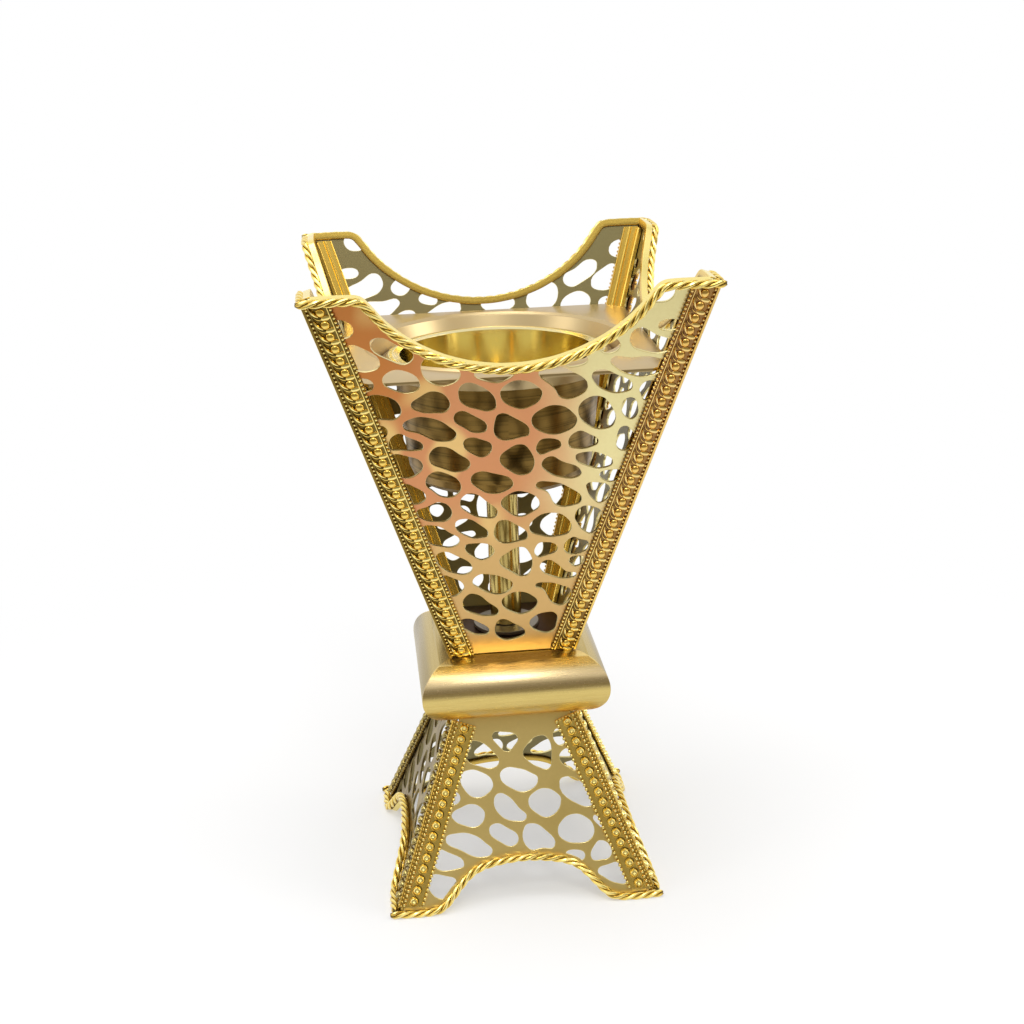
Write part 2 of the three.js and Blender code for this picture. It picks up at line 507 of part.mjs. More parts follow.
// Turned and clamped pieces on the burner's axis
function collar() {
  const bottom = BASE_HEIGHT + SEAT_GAP;
  const radius = COLLAR_HEIGHT / 2;
  const pillow = (round) => {
    const profile = [[0, -round]];
    for (let i = 0; i <= COLLAR_STEPS; i += 1) {
      const angle = (Math.PI * i) / COLLAR_STEPS;
      const half = COLLAR_FLAT_HALF + round * Math.sin(angle);
      profile.push([Math.SQRT2 * half, -round * Math.cos(angle)]);
    }
    profile.push([0, round]);
    return toSolid(turned(profile, 4, Math.PI / 4)).translate([0, 0, bottom + radius]);
  };
  const bore = prism(circle(ROD_RADIUS + SEAT_GAP), COLLAR_HEIGHT + 2 * OVERRUN);
  const hollow = pillow(radius - COLLAR_WALL).add(toSolid(bore.translate(0, 0, bottom - OVERRUN)));
  return toGeometry(pillow(radius).subtract(hollow));
}

function squarePlate(half, bottomZ) {
  return prism(square(half, SHEET), PLATE, [circle(ROD_RADIUS + SEAT_GAP)]).translate(0, 0, bottomZ);
}

function washer(radius, bottomZ) {
  return prism(circle(radius, TURNED_SIDES), WASHER_THICKNESS, [circle(ROD_RADIUS + SEAT_GAP)])
    .translate(0, 0, bottomZ);
}

function nut(bottomZ) {
  return prism(circle(NUT_FLATS / Math.sqrt(3), 6), NUT_HEIGHT, [circle(ROD_RADIUS + SEAT_GAP / 2)])
    .translate(0, 0, bottomZ);
}

// The tray: a square sheet with a raised bead round a lower ledge that carries the cup holder.
function tray() {
  const top = TRAY_Z;
  const ledge = LEDGE_Z;
  const cornerCut = ANGLE_LEG + ANGLE_THICKNESS + TRAY_CORNER_PLAY;
  const opening = HOLDER_TOP_RADIUS + SEAT_GAP;
  const lip = BEAD_RADIUS + 2 * BEAD_HALF;
  const profile = [
    [opening, ledge - TRAY_SHEET],
    [LEDGE_RADIUS + TRAY_SHEET, ledge - TRAY_SHEET],
    [STEP_RADIUS + TRAY_SHEET, top - TRAY_SHEET],
    [lip, top - TRAY_SHEET],
    [lip, top],
    [BEAD_RADIUS + BEAD_HALF, top],
    [BEAD_RADIUS, top + BEAD_RISE],
    [BEAD_RADIUS - BEAD_HALF, top],
    [STEP_RADIUS, top],
    [LEDGE_RADIUS, ledge],
    [opening, ledge],
    [opening, ledge - TRAY_SHEET],
  ];
  const middle = circle(BEAD_RADIUS + BEAD_HALF, TURNED_SIDES);
  const frame = prism(square(TRAY_HALF, cornerCut), TRAY_SHEET, [middle]);
  return toGeometry(toSolid(turned(profile)).add(toSolid(frame.translate(0, 0, top - TRAY_SHEET))));
}

// A round between a floor and a side, from the floor's edge up to the side's foot.
function roundUp(floorRadius, floorZ, sideRadius, sideZ) {
  const curve = new THREE.QuadraticBezierCurve(
    new THREE.Vector2(floorRadius, floorZ),
    new THREE.Vector2(sideRadius, floorZ),
    new THREE.Vector2(sideRadius, sideZ),
  );
  return curve.getPoints(CURVE_STEPS).map((point) => [point.x, point.y]);
}

function cupHolder() {
  const bore = ROD_RADIUS + SEAT_GAP;
  const curveZ = HOLDER_BOTTOM_Z + HOLDER_CURVE;
  const outside = roundUp(HOLDER_FLOOR_RADIUS, HOLDER_BOTTOM_Z, HOLDER_LOW_RADIUS, curveZ);
  const inside = roundUp(
    HOLDER_FLOOR_RADIUS - HOLDER_WALL,
    HOLDER_BOTTOM_Z + HOLDER_WALL,
    HOLDER_LOW_RADIUS - HOLDER_WALL,
    curveZ,
  );
  return turned([
    [bore, HOLDER_BOTTOM_Z],
    ...outside,
    [HOLDER_TOP_RADIUS, HOLDER_TOP_Z - HOLDER_WALL],
    [HOLDER_FLANGE_RADIUS, HOLDER_TOP_Z - HOLDER_WALL],
    [HOLDER_FLANGE_RADIUS, HOLDER_TOP_Z],
    [HOLDER_TOP_RADIUS - HOLDER_WALL, HOLDER_TOP_Z],
    ...inside.reverse(),
    [bore, HOLDER_BOTTOM_Z + HOLDER_WALL],
    [bore, HOLDER_BOTTOM_Z],
  ]);
}

// The charcoal cup hangs in the holder by its rolled rim.
function charcoalCup() {
  const rimZ = HOLDER_TOP_Z + SEAT_GAP;
  const floorZ = rimZ - CUP_DEPTH;
  const curveZ = floorZ + CUP_CURVE;
  const lowRadius = CUP_TOP_RADIUS - 2 * CUP_WALL;
  const outside = roundUp(CUP_FLOOR_RADIUS, floorZ, lowRadius, curveZ);
  const inside = roundUp(CUP_FLOOR_RADIUS - CUP_WALL, floorZ + CUP_WALL, lowRadius - CUP_WALL, curveZ);
  return turned([
    [0, floorZ],
    ...outside,
    [CUP_TOP_RADIUS, rimZ],
    [CUP_RIM_RADIUS, rimZ],
    [CUP_RIM_RADIUS + CUP_RIM_HALF, rimZ + CUP_RIM_HALF],
    [CUP_RIM_RADIUS, rimZ + 2 * CUP_RIM_HALF],
    [CUP_RIM_RADIUS - 2 * CUP_RIM_HALF, rimZ + 2 * CUP_RIM_HALF],
    [CUP_TOP_RADIUS - CUP_WALL, rimZ],
    ...inside.reverse(),
    [0, floorZ + CUP_WALL],
  ]);
}

// Assembly
const burner = new THREE.Group();

const faceNames = ['front', 'right', 'back', 'left'];

function quarter(k) {
  const group = new THREE.Group();
  group.rotation.z = k * QUARTER_TURN;
  burner.add(group);
  return group;
}

function onFace(parent, form, mesh) {
  const tilted = new THREE.Group();
  tilted.position.set(0, -form.bottomHalf, form.bottomZ);
  tilted.rotation.x = QUARTER_TURN + form.lean;
  tilted.add(mesh);
  parent.add(tilted);
}

// Front and back ropes run over the corners; the side ropes butt against them.
const overCorner = (k) => k % 2 === 0;

function bodyRope(k) {
  const hornHalf = body.halfAt(HEIGHT - ROPE_RADIUS);
  const end = overCorner(k) ? hornHalf + ROPE_DEPTH + ROPE_RADIUS : hornHalf - SEAT_GAP;
  return ropeAlong(scallopLine(end));
}

function baseRope(k) {
  const end = overCorner(k) ? FOOT_HALF + ROPE_DEPTH + ROPE_RADIUS : FOOT_HALF - SEAT_GAP;
  const rope = ropeAlong(archLine(end));
  rope.rotateX(QUARTER_TURN + base.lean).translate(0, -base.bottomHalf, 0);
  const size = 4 * FOOT_HALF;
  const floor = new THREE.BoxGeometry(size, size, size).translate(0, 0, -size / 2);
  return toGeometry(toSolid(rope).subtract(toSolid(floor)));
}

// The body panel's inner edge is level with the top of the rope on the horns.
const overRope = (ROPE_RADIUS - (ROPE_DEPTH + SHEET) * Math.sin(body.lean)) / Math.cos(body.lean);
const bodyPanel = piercedPanel(
  body,
  beside(scallopLine(BODY_TOP_HALF), overRope),
  beside(scallopLine(BODY_TOP_HALF), overRope - RIM),
  0,
  bodyHoleShares,
);
const basePanel = piercedPanel(
  base,
  beside(archLine(FOOT_HALF), SEAT_GAP),
  beside(archLine(FOOT_HALF), ROPE_RADIUS + RIM / 2),
  base.slant,
  baseHoleShares,
);

const stripTopZ = HEIGHT - 2 * ROPE_RADIUS - SEAT_GAP;
const footTopZ = 2 * ROPE_RADIUS - ROPE_FLAT + SEAT_GAP;
const floorPlateZ = BODY_Z + FLOOR_PLATE_RISE;
const angleBottomZ = floorPlateZ + PLATE + SEAT_GAP;
const angleTopZ = HEIGHT - 2 * ROPE_RADIUS;

faceNames.forEach((face, k) => {
  const side = quarter(k);
  const next = faceNames[(k + 1) % faceNames.length];
  onFace(side, body, piece(`body_panel_${face}`, bodyPanel.clone(), 'copper'));
  onFace(side, body, piece(`body_rope_${face}`, bodyRope(k), 'gold'));
  onFace(side, base, piece(`base_panel_${face}`, basePanel.clone(), 'satin'));
  side.add(piece(`base_rope_${face}`, baseRope(k), 'gold'));

  const bodyPlan = stripPlan(body);
  const basePlan = stripPlan(base);
  const bodyStrip = (plan) => cornerBar(body, plan, BODY_Z, stripTopZ);
  const baseStrip = (plan) => squareEnd(
    base,
    cornerBar(base, plan, footTopZ, BASE_HEIGHT),
    BASE_HEIGHT - STRIP_END_DROP,
  );
  side.add(piece(`body_strip_${face}_right`, bodyStrip(bodyPlan), 'antique'));
  side.add(piece(`body_strip_${next}_left`, bodyStrip(acrossDiagonal(bodyPlan)), 'antique'));
  side.add(piece(`base_strip_${face}_right`, baseStrip(basePlan), 'antique'));
  side.add(piece(`base_strip_${next}_left`, baseStrip(acrossDiagonal(basePlan)), 'antique'));
  const angle = cornerBar(body, anglePlan(body), angleBottomZ, angleTopZ);
  side.add(piece(`inner_angle_${face}_${next}`, angle, 'gold'));
});

const basePlateZ = BASE_HEIGHT - BASE_PLATE_DROP - PLATE;
const lowWasherZ = basePlateZ - SEAT_GAP - WASHER_THICKNESS;
const lowNutZ = lowWasherZ - SEAT_GAP - NUT_HEIGHT;
const rodBottomZ = lowNutZ - ROD_PROUD;
const flangeZ = floorPlateZ + PLATE + SEAT_GAP;
const stemBottomZ = flangeZ + WASHER_THICKNESS + SEAT_GAP;
const highWasherZ = HOLDER_BOTTOM_Z + HOLDER_WALL + SEAT_GAP;
const highNutZ = highWasherZ + WASHER_THICKNESS + SEAT_GAP;
const rodTopZ = highNutZ + NUT_HEIGHT + ROD_PROUD;

burner.add(piece('collar', collar(), 'brushed'));
burner.add(piece(
  'base_top_plate',
  squarePlate(base.innerHalfAt(basePlateZ + PLATE) - SEAT_GAP, basePlateZ),
  'satin',
));
burner.add(piece(
  'body_floor_plate',
  squarePlate(body.innerHalfAt(floorPlateZ) - SEAT_GAP, floorPlateZ),
  'steel',
));
burner.add(piece('lower_washer', washer(WASHER_RADIUS, lowWasherZ), 'steel'));
burner.add(piece('lower_nut', nut(lowNutZ), 'steel'));
const tieRod = prism(circle(ROD_RADIUS), rodTopZ - rodBottomZ).translate(0, 0, rodBottomZ);
burner.add(piece('tie_rod', tieRod, 'steel'));
burner.add(piece('stem_flange', washer(FLANGE_RADIUS, flangeZ), 'steel'));
const stemTube = prism(circle(STEM_RADIUS, TURNED_SIDES), HOLDER_BOTTOM_Z - SEAT_GAP - stemBottomZ, [
  circle(STEM_RADIUS - STEM_WALL, TURNED_SIDES),
]);
burner.add(piece('stem_tube', stemTube.translate(0, 0, stemBottomZ), 'brushed'));
burner.add(piece('upper_washer', washer(WASHER_RADIUS, highWasherZ), 'steel'));
burner.add(piece('upper_nut', nut(highNutZ), 'steel'));
burner.add(piece('tray_plate', tray(), 'satin'));
burner.add(piece('cup_holder', cupHolder(), 'brushed'));
burner.add(piece('charcoal_cup', charcoalCup(), 'polished'));

export default burner;
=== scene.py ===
"""Mabkhara incense burner: the finished surface of each piece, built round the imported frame.

Metres, +Z up. The front face looks along -Y. Turned pieces stand on the burner's axis.
"""

import json
import math

import bmesh
import bpy
from bpy.props import FloatProperty, FloatVectorProperty, IntProperty, PointerProperty
from mathutils import Matrix, Vector
from mathutils.kdtree import KDTree


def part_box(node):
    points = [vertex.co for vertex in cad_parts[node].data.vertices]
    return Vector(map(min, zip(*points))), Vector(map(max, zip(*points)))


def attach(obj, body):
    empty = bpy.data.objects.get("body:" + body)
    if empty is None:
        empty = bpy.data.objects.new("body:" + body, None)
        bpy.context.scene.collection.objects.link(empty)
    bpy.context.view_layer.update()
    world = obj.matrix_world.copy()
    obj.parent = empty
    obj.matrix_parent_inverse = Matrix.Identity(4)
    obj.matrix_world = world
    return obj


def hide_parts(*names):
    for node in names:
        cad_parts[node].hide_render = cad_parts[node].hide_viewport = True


bl_info = {
    "name": "Mabkhara incense burner",
    "version": (1, 0, 0),
    "blender": (4, 5, 0),
    "location": "3D View > Sidebar > Mabkhara",
    "description": "Pierced brass burner with rope trim, beaded corner strips and a lift-out cup",
    "category": "Add Mesh",
}

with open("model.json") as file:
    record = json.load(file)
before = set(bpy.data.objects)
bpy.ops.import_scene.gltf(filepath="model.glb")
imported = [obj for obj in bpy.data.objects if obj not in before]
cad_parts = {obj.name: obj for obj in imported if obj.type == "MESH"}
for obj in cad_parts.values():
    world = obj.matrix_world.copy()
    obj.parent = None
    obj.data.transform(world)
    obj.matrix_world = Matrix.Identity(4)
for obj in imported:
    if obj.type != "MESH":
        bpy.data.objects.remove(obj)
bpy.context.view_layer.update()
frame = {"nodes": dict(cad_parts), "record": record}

FACES = ("front", "right", "back", "left")
QUARTER_TURN = math.pi / 2
MM = 0.001
MERGE = 0.001 * MM

# Turns above these count as corners: on a flat outline or at an edge, and in a turned section
FLAT_CORNER = math.radians(35)
TURNED_CORNER = math.radians(40)
# Turns up to this count as straight
STRAIGHT = math.radians(1)
STRANDS = 3
# Middle of a small bead over its ground, as a share of its radius
BEAD_SEAT = 0.4
# Scales of the noise that stands for the grain of rolled sheet, worked trim, smooth and brushed metal
SHEET_GRAIN, TRIM_GRAIN, SMOOTH_GRAIN, BRUSHED_GRAIN = 900, 1400, 1100, 1500
SEEN_RAYS = ("Is Camera Ray", "Is Glossy Ray", "Is Transmission Ray")
# Place, width and share of the lamp power of each lamp
LAMPS = {
    "lamp_top": ((-0.15, -0.1, 1.3), 0.9, 0.8),
    "lamp_front": ((0.05, -0.8, 1.15), 0.3, 0.3),
    "lamp_left": ((-1.1, -0.3, 0.6), 0.5, 0.15),
    "lamp_right": ((1.1, -0.3, 0.7), 0.5, 0.3),
}


def length(name, description, millimetres):
    """A size that a user may change, given in millimetres."""
    return FloatProperty(
        name=name, description=description, default=millimetres * MM, min=0, precision=5, unit="LENGTH"
    )


def count(name, description, value):
    """A number of steps or copies that a user may change."""
    return IntProperty(name=name, description=description, default=value, min=1)


def amount(name, description, value):
    """A plain number that a user may change."""
    return FloatProperty(name=name, description=description, default=value, min=0)


def paint(name, description, red, green, blue):
    """A colour that a user may change, given as it looks on a screen, from 0 to 255."""
    shares = [c / 255 for c in (red, green, blue)]
    linear = [((s + 0.055) / 1.055) ** 2.4 if s > 0.04 else s / 12.92 for s in shares]
    return FloatVectorProperty(
        name=name, description=description, default=linear, size=3, min=0, max=1, subtype="COLOR"
    )


# Sizes and colours
class MabkharaSheets(bpy.types.PropertyGroup):
    """Pierced sheets and plates."""

    thickness: length("Thickness", "Thickness of the pierced sheet", 0.8)
    edge: length("Edge", "Round on the cut edges", 0.14)
    tuck: length("Tuck", "How far the sheet ends inside the edge band", 0.5)
    steps: count("Curve steps", "Steps between two points of a hole's outline", 5)
    eased: length("Eased edge", "Round on the edges of plates and nuts", 0.12)


class MabkharaTrim(bpy.types.PropertyGroup):
    """Rope and band along the panels' free edges."""

    rope_radius: length("Rope radius", "Outer radius of the twisted rope", 1.32)
    rope_depth: length("Rope depth", "Rope's middle in front of the sheet", 1.75)
    strand_radius: length("Strand radius", "Radius of one strand", 0.64)
    pitch: length("Twist", "Length of one whole turn of a strand", 11.4)
    step: length("Step", "Distance between two points of a strand", 0.6)
    base_gap: length("Base gap", "Base rope's middle outside the sheet's edge", 0.3)
    tip: length("Tip", "Length over which the strands draw together at an end", 1.6)
    body_drop: length("Body rope's drop", "Rope's middle below the body sheet's edge", 1.12)
    band_top: length("Band top", "Top of the band over the rope's middle", 0.75)
    band_wall: length("Band wall", "Thickness of the band", 0.6)
    band_front: length("Band front", "Where the band's top starts, in front of the sheet", 0.5)
    band_back: length("Band back", "Where the band ends, behind the sheet's outer side", 1.62)
    band_leg: length("Band leg", "How far the band reaches down inside", 1.7)


class MabkharaStrips(bpy.types.PropertyGroup):
    """Beaded corner strips, outside the corners, and smooth angles inside them."""

    seat: length("Seat", "Back of the strip in front of the sheet", 0.3)
    recess: length("Recess", "Depth of the strip's ground", 0.95)
    face: length("Body's rail", "Depth of the rail of the body's strips", 1.8)
    base_face: length("Base's rail", "Depth of the rail of the base's strips", 1.25)
    width: length("Width", "Width of the strip with its bead rows", 8.2)
    lip: length("Lip", "Round on the strip's stamped edges", 0.12)
    bead_radius: length("Bead radius", "Radius of the small beads", 0.5)
    bead_pitch: length("Body's bead pitch", "Distance between two small beads of the body", 1.45)
    base_bead_pitch: length("Base's bead pitch", "Distance between two small beads of the base", 1.62)
    motif_pitch: length("Motif pitch", "Distance between two scrolls on the body", 4.15)
    dome_radius: length("Dome radius", "Radius of the body's large beads", 1.46)
    wire: length("Wire", "Radius of the scrolls round the large beads", 0.34)
    rosette_pitch: length("Rosette pitch", "Distance between two rosettes on the base", 3.9)
    rosette_radius: length("Rosette radius", "Radius of a rosette on the base", 1.4)
    angle_outer: length("Angle outer side", "Angle's outer side behind the sheet's outer side", 1.1)
    angle_inner: length("Angle inner side", "Angle's inner side behind the sheet's outer side", 1.9)
    angle_leg: length("Angle leg", "Width of an angle's leg", 4.6)
    angle_roll: length("Angle roll", "Height of the ridge and the rolled edge of an angle", 0.25)
    ridge_share: amount("Ridge place", "Place of the ridge on an angle's leg, as a share of it", 0.5)


class MabkharaTurned(bpy.types.PropertyGroup):
    """Turned and clamped pieces."""

    steps: count("Steps", "Steps round a turned piece", 96)
    eased: length("Eased edge", "Round on the edges of turned pieces", 0.16)
    mitre: length("Mitre edge", "Width of the bright line on the collar's mitres", 0.22)
    brace: length("Brace", "How far a flat's ends may bend", 0.4)
    rim_fall: length("Rim's fall", "Fall of the cup's rim from its crest to the bowl", 0.35)
    flat_share: amount("Tray's flat", "Where the tray's ring ends, as a share of its half width", 0.94)
    thread: length("Thread", "Distance between two threads of the rod", 1.0)
    thread_depth: length("Thread depth", "Depth of the thread", 0.3)


class MabkharaColours(bpy.types.PropertyGroup):
    """Metal colours."""

    # Painted reflection on the front of the body sheet: both rose golds, the pale one to the right (also
    # the painted highlight of cut edges), the tan lower down, and the yellow painted highlights; that
    # yellow is also a band of the collar's painted reflection
    rose_reflection: paint("Rose gold", "Warm part of the body sheet", 214, 148, 104)
    deep_rose_reflection: paint("Deep rose gold", "Darker patch at the upper left", 198, 126, 68)
    pale_reflection: paint("Champagne", "Pale part of the body sheet", 240, 228, 168)
    tan: paint("Tan gold", "Lower part of the body sheet", 214, 176, 116)
    glow: paint("Glow", "Yellow patches of the body sheet", 244, 214, 138)
    olive_gold: paint("Olive gold", "Base sheet and the body's other sides", 238, 212, 138)
    # Painted shade on the sheets' inner side and on the collar's left and right sides
    shade_grey: paint("Olive grey", "Inner side of the sheets", 136, 128, 92)
    gold: paint("Gold", "Ropes, strips and bands", 240, 204, 100)
    # Trim tones: pale gold is the painted highlight on crests; deep gold and patina are patina and painted
    # shade in the hollows, and plain clouds and grain elsewhere
    gold_pale: paint("Pale gold", "Crests of the trim", 252, 232, 146)
    gold_deep: paint("Deep gold", "Warm hollows of the trim", 176, 146, 70)
    patina: paint("Patina", "Dark recesses of the trim", 84, 72, 36)
    # Painted reflection: the orange-gold band at the collar's foot
    amber_reflection: paint("Amber", "Collar where it meets the body and the base", 252, 198, 78)
    satin: paint("Satin gold", "Tray", 200, 178, 134)
    brushed: paint("Brushed gold", "Collar and stem", 216, 192, 118)
    polished: paint("Polished gold", "Charcoal cup", 226, 212, 150)
    bronze: paint("Bronze", "Cup holder", 150, 120, 64)
    # Painted shade on the burner's left side, with weathered streaks on the base
    side_shade_brass: paint("Worn brass", "Left side, which the light hardly reaches", 88, 70, 42)
    brown: paint("Brown steel", "Floor plate", 92, 66, 48)
    zinc: paint("Zinc", "Fasteners", 178, 170, 158)


class MabkharaStage(bpy.types.PropertyGroup):
    """Camera, floor and lamps."""

    lens: FloatProperty(
        name="Lens", description="Focal length on a 36 mm sensor", default=58.14, min=1, unit="CAMERA"
    )
    distance: length("Distance", "Camera to the point it looks at", 554.1)
    azimuth: FloatProperty(
        name="Azimuth", description="Camera's turn round the burner", default=math.radians(-5.323),
        subtype="ANGLE",
    )
    elevation: FloatProperty(
        name="Elevation", description="Camera's height as an angle", default=math.radians(18.637),
        subtype="ANGLE",
    )
    roll: FloatProperty(
        name="Roll", description="Camera's tilt to one side", default=math.radians(-1.902), subtype="ANGLE"
    )
    target: FloatVectorProperty(
        name="Target", description="Point that the camera looks at", default=(0.00321, 0, 0.1243),
        subtype="TRANSLATION",
    )
    floor: paint("Floor", "Table and background", 246, 246, 246)
    floor_half: length("Floor size", "Half width of the floor", 3000)
    dim_side: paint("Dim side", "What polished metal mirrors of the room in front", 150, 142, 122)
    glow: amount("Floor's glow", "Share of plain white in the floor by the burner", 0.4)
    soft_light: amount("Soft light", "Strength of the light from all sides", 0.62)
    lamp_power: amount("Lamp power", "Power of the main lamp in watts", 9.0)


# Shader expressions
class Shade:
    """A socket that sums can be written on: each operator adds its Math node."""

    def __init__(self, finish, socket):
        self.finish = finish
        self.socket = socket

    def __add__(self, other):
        return self.finish.maths("ADD", self, other)

    def __sub__(self, other):
        return self.finish.maths("SUBTRACT", self, other)

    def __rsub__(self, other):
        return self.finish.maths("SUBTRACT", other, self)

    def __mul__(self, other):
        return self.finish.maths("MULTIPLY", self, other)

    def __truediv__(self, other):
        return self.finish.maths("DIVIDE", self, other)

    def __abs__(self):
        return self.finish.maths("ABSOLUTE", self)

    __radd__ = __add__
    __rmul__ = __mul__


class Nodes:
    """A node tree that values and nodes are added to."""

    def __init__(self, tree):
        self.tree = tree

    def feed(self, socket, value):
        """Links a Shade to a socket, or sets the socket to a plain value."""
        if isinstance(value, Shade):
            self.tree.links.new(value.socket, socket)
        elif hasattr(socket.default_value, "__len__") and len(socket.default_value) == 4:
            socket.default_value = (*value, 1)
        else:
            socket.default_value = value

    def node(self, kind, settings, sockets, output=0):
        """Any node: its settings come first, then its sockets; gives one of its outputs."""
        made = self.tree.nodes.new(kind)
        for name, value in settings.items():
            setattr(made, name, value)
        for name, value in sockets.items():
            self.feed(made.inputs[name], value)
        return Shade(self, made.outputs[output])

    def maths(self, operation, *values):
        return self.node("ShaderNodeMath", {"operation": operation}, dict(enumerate(values)))

    def mix(self, factor, first, second):
        """Two colours mixed by a factor."""
        return self.node("ShaderNodeMix", {"data_type": "RGBA"}, {0: factor, 6: first, 7: second}, 2)

    def bands(self, value, first, *steps):
        """A colour that turns to the next one between two values at each step."""
        colour = first
        for low, high, following in steps:
            colour = self.mix(self.between(value, low, high), colour, following)
        return colour

    def between(self, value, low, high):
        """0 below low, 1 above high, and a soft step between them; high may be the lower one."""
        settings = {"interpolation_type": "SMOOTHSTEP"}
        return self.node("ShaderNodeMapRange", settings, {"Value": value, 1: low, 2: high})

    def object_place(self):
        return self.node("ShaderNodeTexCoord", {}, {}, "Object")

    def axes(self, vector):
        """The three numbers of a vector."""
        return [self.node("ShaderNodeSeparateXYZ", {}, {0: vector}, axis) for axis in "XYZ"]

    def vector(self, x, y, z):
        return self.node("ShaderNodeCombineXYZ", {}, {0: x, 1: y, 2: z})

    def noise(self, place, scale, detail=3, roughness=0.55):
        sockets = {"Vector": place, "Scale": scale, "Detail": detail, "Roughness": roughness}
        return self.node("ShaderNodeTexNoise", {}, sockets)

    def seen_rays(self):
        """1 for rays from the camera, in a mirror image or through glass, one number for each."""
        return [self.node("ShaderNodeLightPath", {}, {}, name) for name in SEEN_RAYS]

    def distance_from_axis(self, x, y):
        return self.maths("SQRT", x * x + y * y)


def finish_name(slot):
    """Name of the material that a slot gets here; the CAD nodes bring plain ones with the slots' names."""
    return f"{slot}_finish"


class Finish(Nodes):
    """A metal finish on one Principled shader."""

    def __init__(self, slot):
        self.material = bpy.data.materials.new(finish_name(slot))
        self.material.use_nodes = True
        super().__init__(self.material.node_tree)
        self.shader = next(n for n in self.tree.nodes if n.type == "BSDF_PRINCIPLED")
        self.set("Metallic", 1.0)

    def set(self, socket, value):
        self.feed(self.shader.inputs[socket], value)

    def made(self, colour, roughness, height, depth):
        """The material, once its shader has a colour, a roughness and a bump of a depth."""
        sockets = {"Height": height, "Distance": depth, "Strength": 1.0}
        self.set("Base Color", colour)
        self.set("Roughness", roughness)
        self.set("Normal", self.node("ShaderNodeBump", {}, sockets))
        return self.material

    def stored(self, name):
        """A number kept with the mesh: the trim's tone of painted light and patina, or 1 on a sheet's
        inner side (painted shade) or on its cut edges (painted highlight).
        """
        return self.node("ShaderNodeAttribute", {"attribute_name": name}, {}, "Fac")


def left_side(finish, x, y):
    """1 on the burner's left side and 0 elsewhere: where the left side's painted shade goes."""
    return finish.between(abs(x) - abs(y), 0.0, 0.003) * finish.between(x, 0.0, -0.01)


def sheet_colours(finish, colour, side_shade_and_wear):
    """A sheet's colour, greyer on its inner side as painted shade, pale along its cut edges as a painted
    highlight, and darkened by a share: the left side's painted shade, streaked on the base.
    """
    colours = bpy.context.scene.mabkhara_colours
    inside = finish.mix(finish.stored("inner") * 0.9, colour, colours.shade_grey)
    pale = finish.mix(finish.stored("cut") * 0.85, inside, colours.pale_reflection)
    return finish.mix(side_shade_and_wear, pale, colours.side_shade_brass)


def body_sheet_finish(slot):
    """Painted reflection on the front: rose gold, deeper at the upper left, with yellow painted
    highlights, pale gold to the right and tan towards the collar; olive gold elsewhere.
    """
    colours = bpy.context.scene.mabkhara_colours
    finish = Finish(slot)
    place = finish.object_place()
    x, y, z = finish.axes(place)
    cloud = finish.noise(place, 24, detail=2)
    drift = (cloud - 0.5) * 0.04
    upper_left = finish.between(x + drift, -0.014, -0.044) * finish.between(z, 0.15, 0.185)
    warm = finish.mix(upper_left, colours.rose_reflection, colours.deep_rose_reflection)
    low = finish.between(z + drift - x * 0.3, 0.152, 0.118)
    lower = finish.mix(low, warm, colours.tan)
    patch = finish.between(finish.noise(finish.vector(x * 1.6, y, z), 46, detail=0), 0.56, 0.7)
    lit = finish.mix(patch * finish.between(x, 0.005, -0.012) * 0.7, lower, colours.glow)
    pale = finish.between(x + drift, 0.004, 0.03) * finish.between(z, 0.1, 0.16)
    front = finish.mix(pale, lit, colours.pale_reflection)
    elsewhere = finish.between(y, -0.024, 0.0)
    fine = finish.noise(place, SHEET_GRAIN, detail=2)
    around = finish.mix(elsewhere * 0.75, front, colours.olive_gold)
    foot = finish.mix(finish.between(z, 0.086, 0.08) * 0.6, around, colours.satin)
    worked = finish.mix(fine * 0.12, foot, colours.gold_deep)
    # Painted shade on the left side
    colour = sheet_colours(finish, worked, left_side(finish, x, y) * 0.45)
    return finish.made(colour, 0.27 + cloud * 0.1 + fine * 0.06, fine, 0.01 * MM)


def base_sheet_finish(slot):
    """Pale olive gold, shaded to the right, with darker clouds; its left side is darker as painted shade,
    with weathered streaks.
    """
    colours = bpy.context.scene.mabkhara_colours
    finish = Finish(slot)
    place = finish.object_place()
    x, y, z = finish.axes(place)
    cloud = finish.noise(place, 38, detail=2)
    fine = finish.noise(place, SHEET_GRAIN, detail=2)
    streak = finish.noise(finish.vector(x * 400, y * 400, z * 60), 1)
    shaded = finish.between(x + (cloud - 0.5) * 0.04, 0.0, 0.03) * 0.5
    front = finish.mix(shaded, colours.olive_gold, colours.brushed)
    clouded = finish.mix(finish.between(cloud, 0.48, 0.7) * 0.2, front, colours.gold_deep)
    side_shade_and_wear = left_side(finish, x, y) * (0.45 + streak * 0.6)
    colour = sheet_colours(finish, finish.mix(fine * 0.08, clouded, colours.patina), side_shade_and_wear)
    return finish.made(colour, 0.3 + cloud * 0.12, fine, 0.01 * MM)


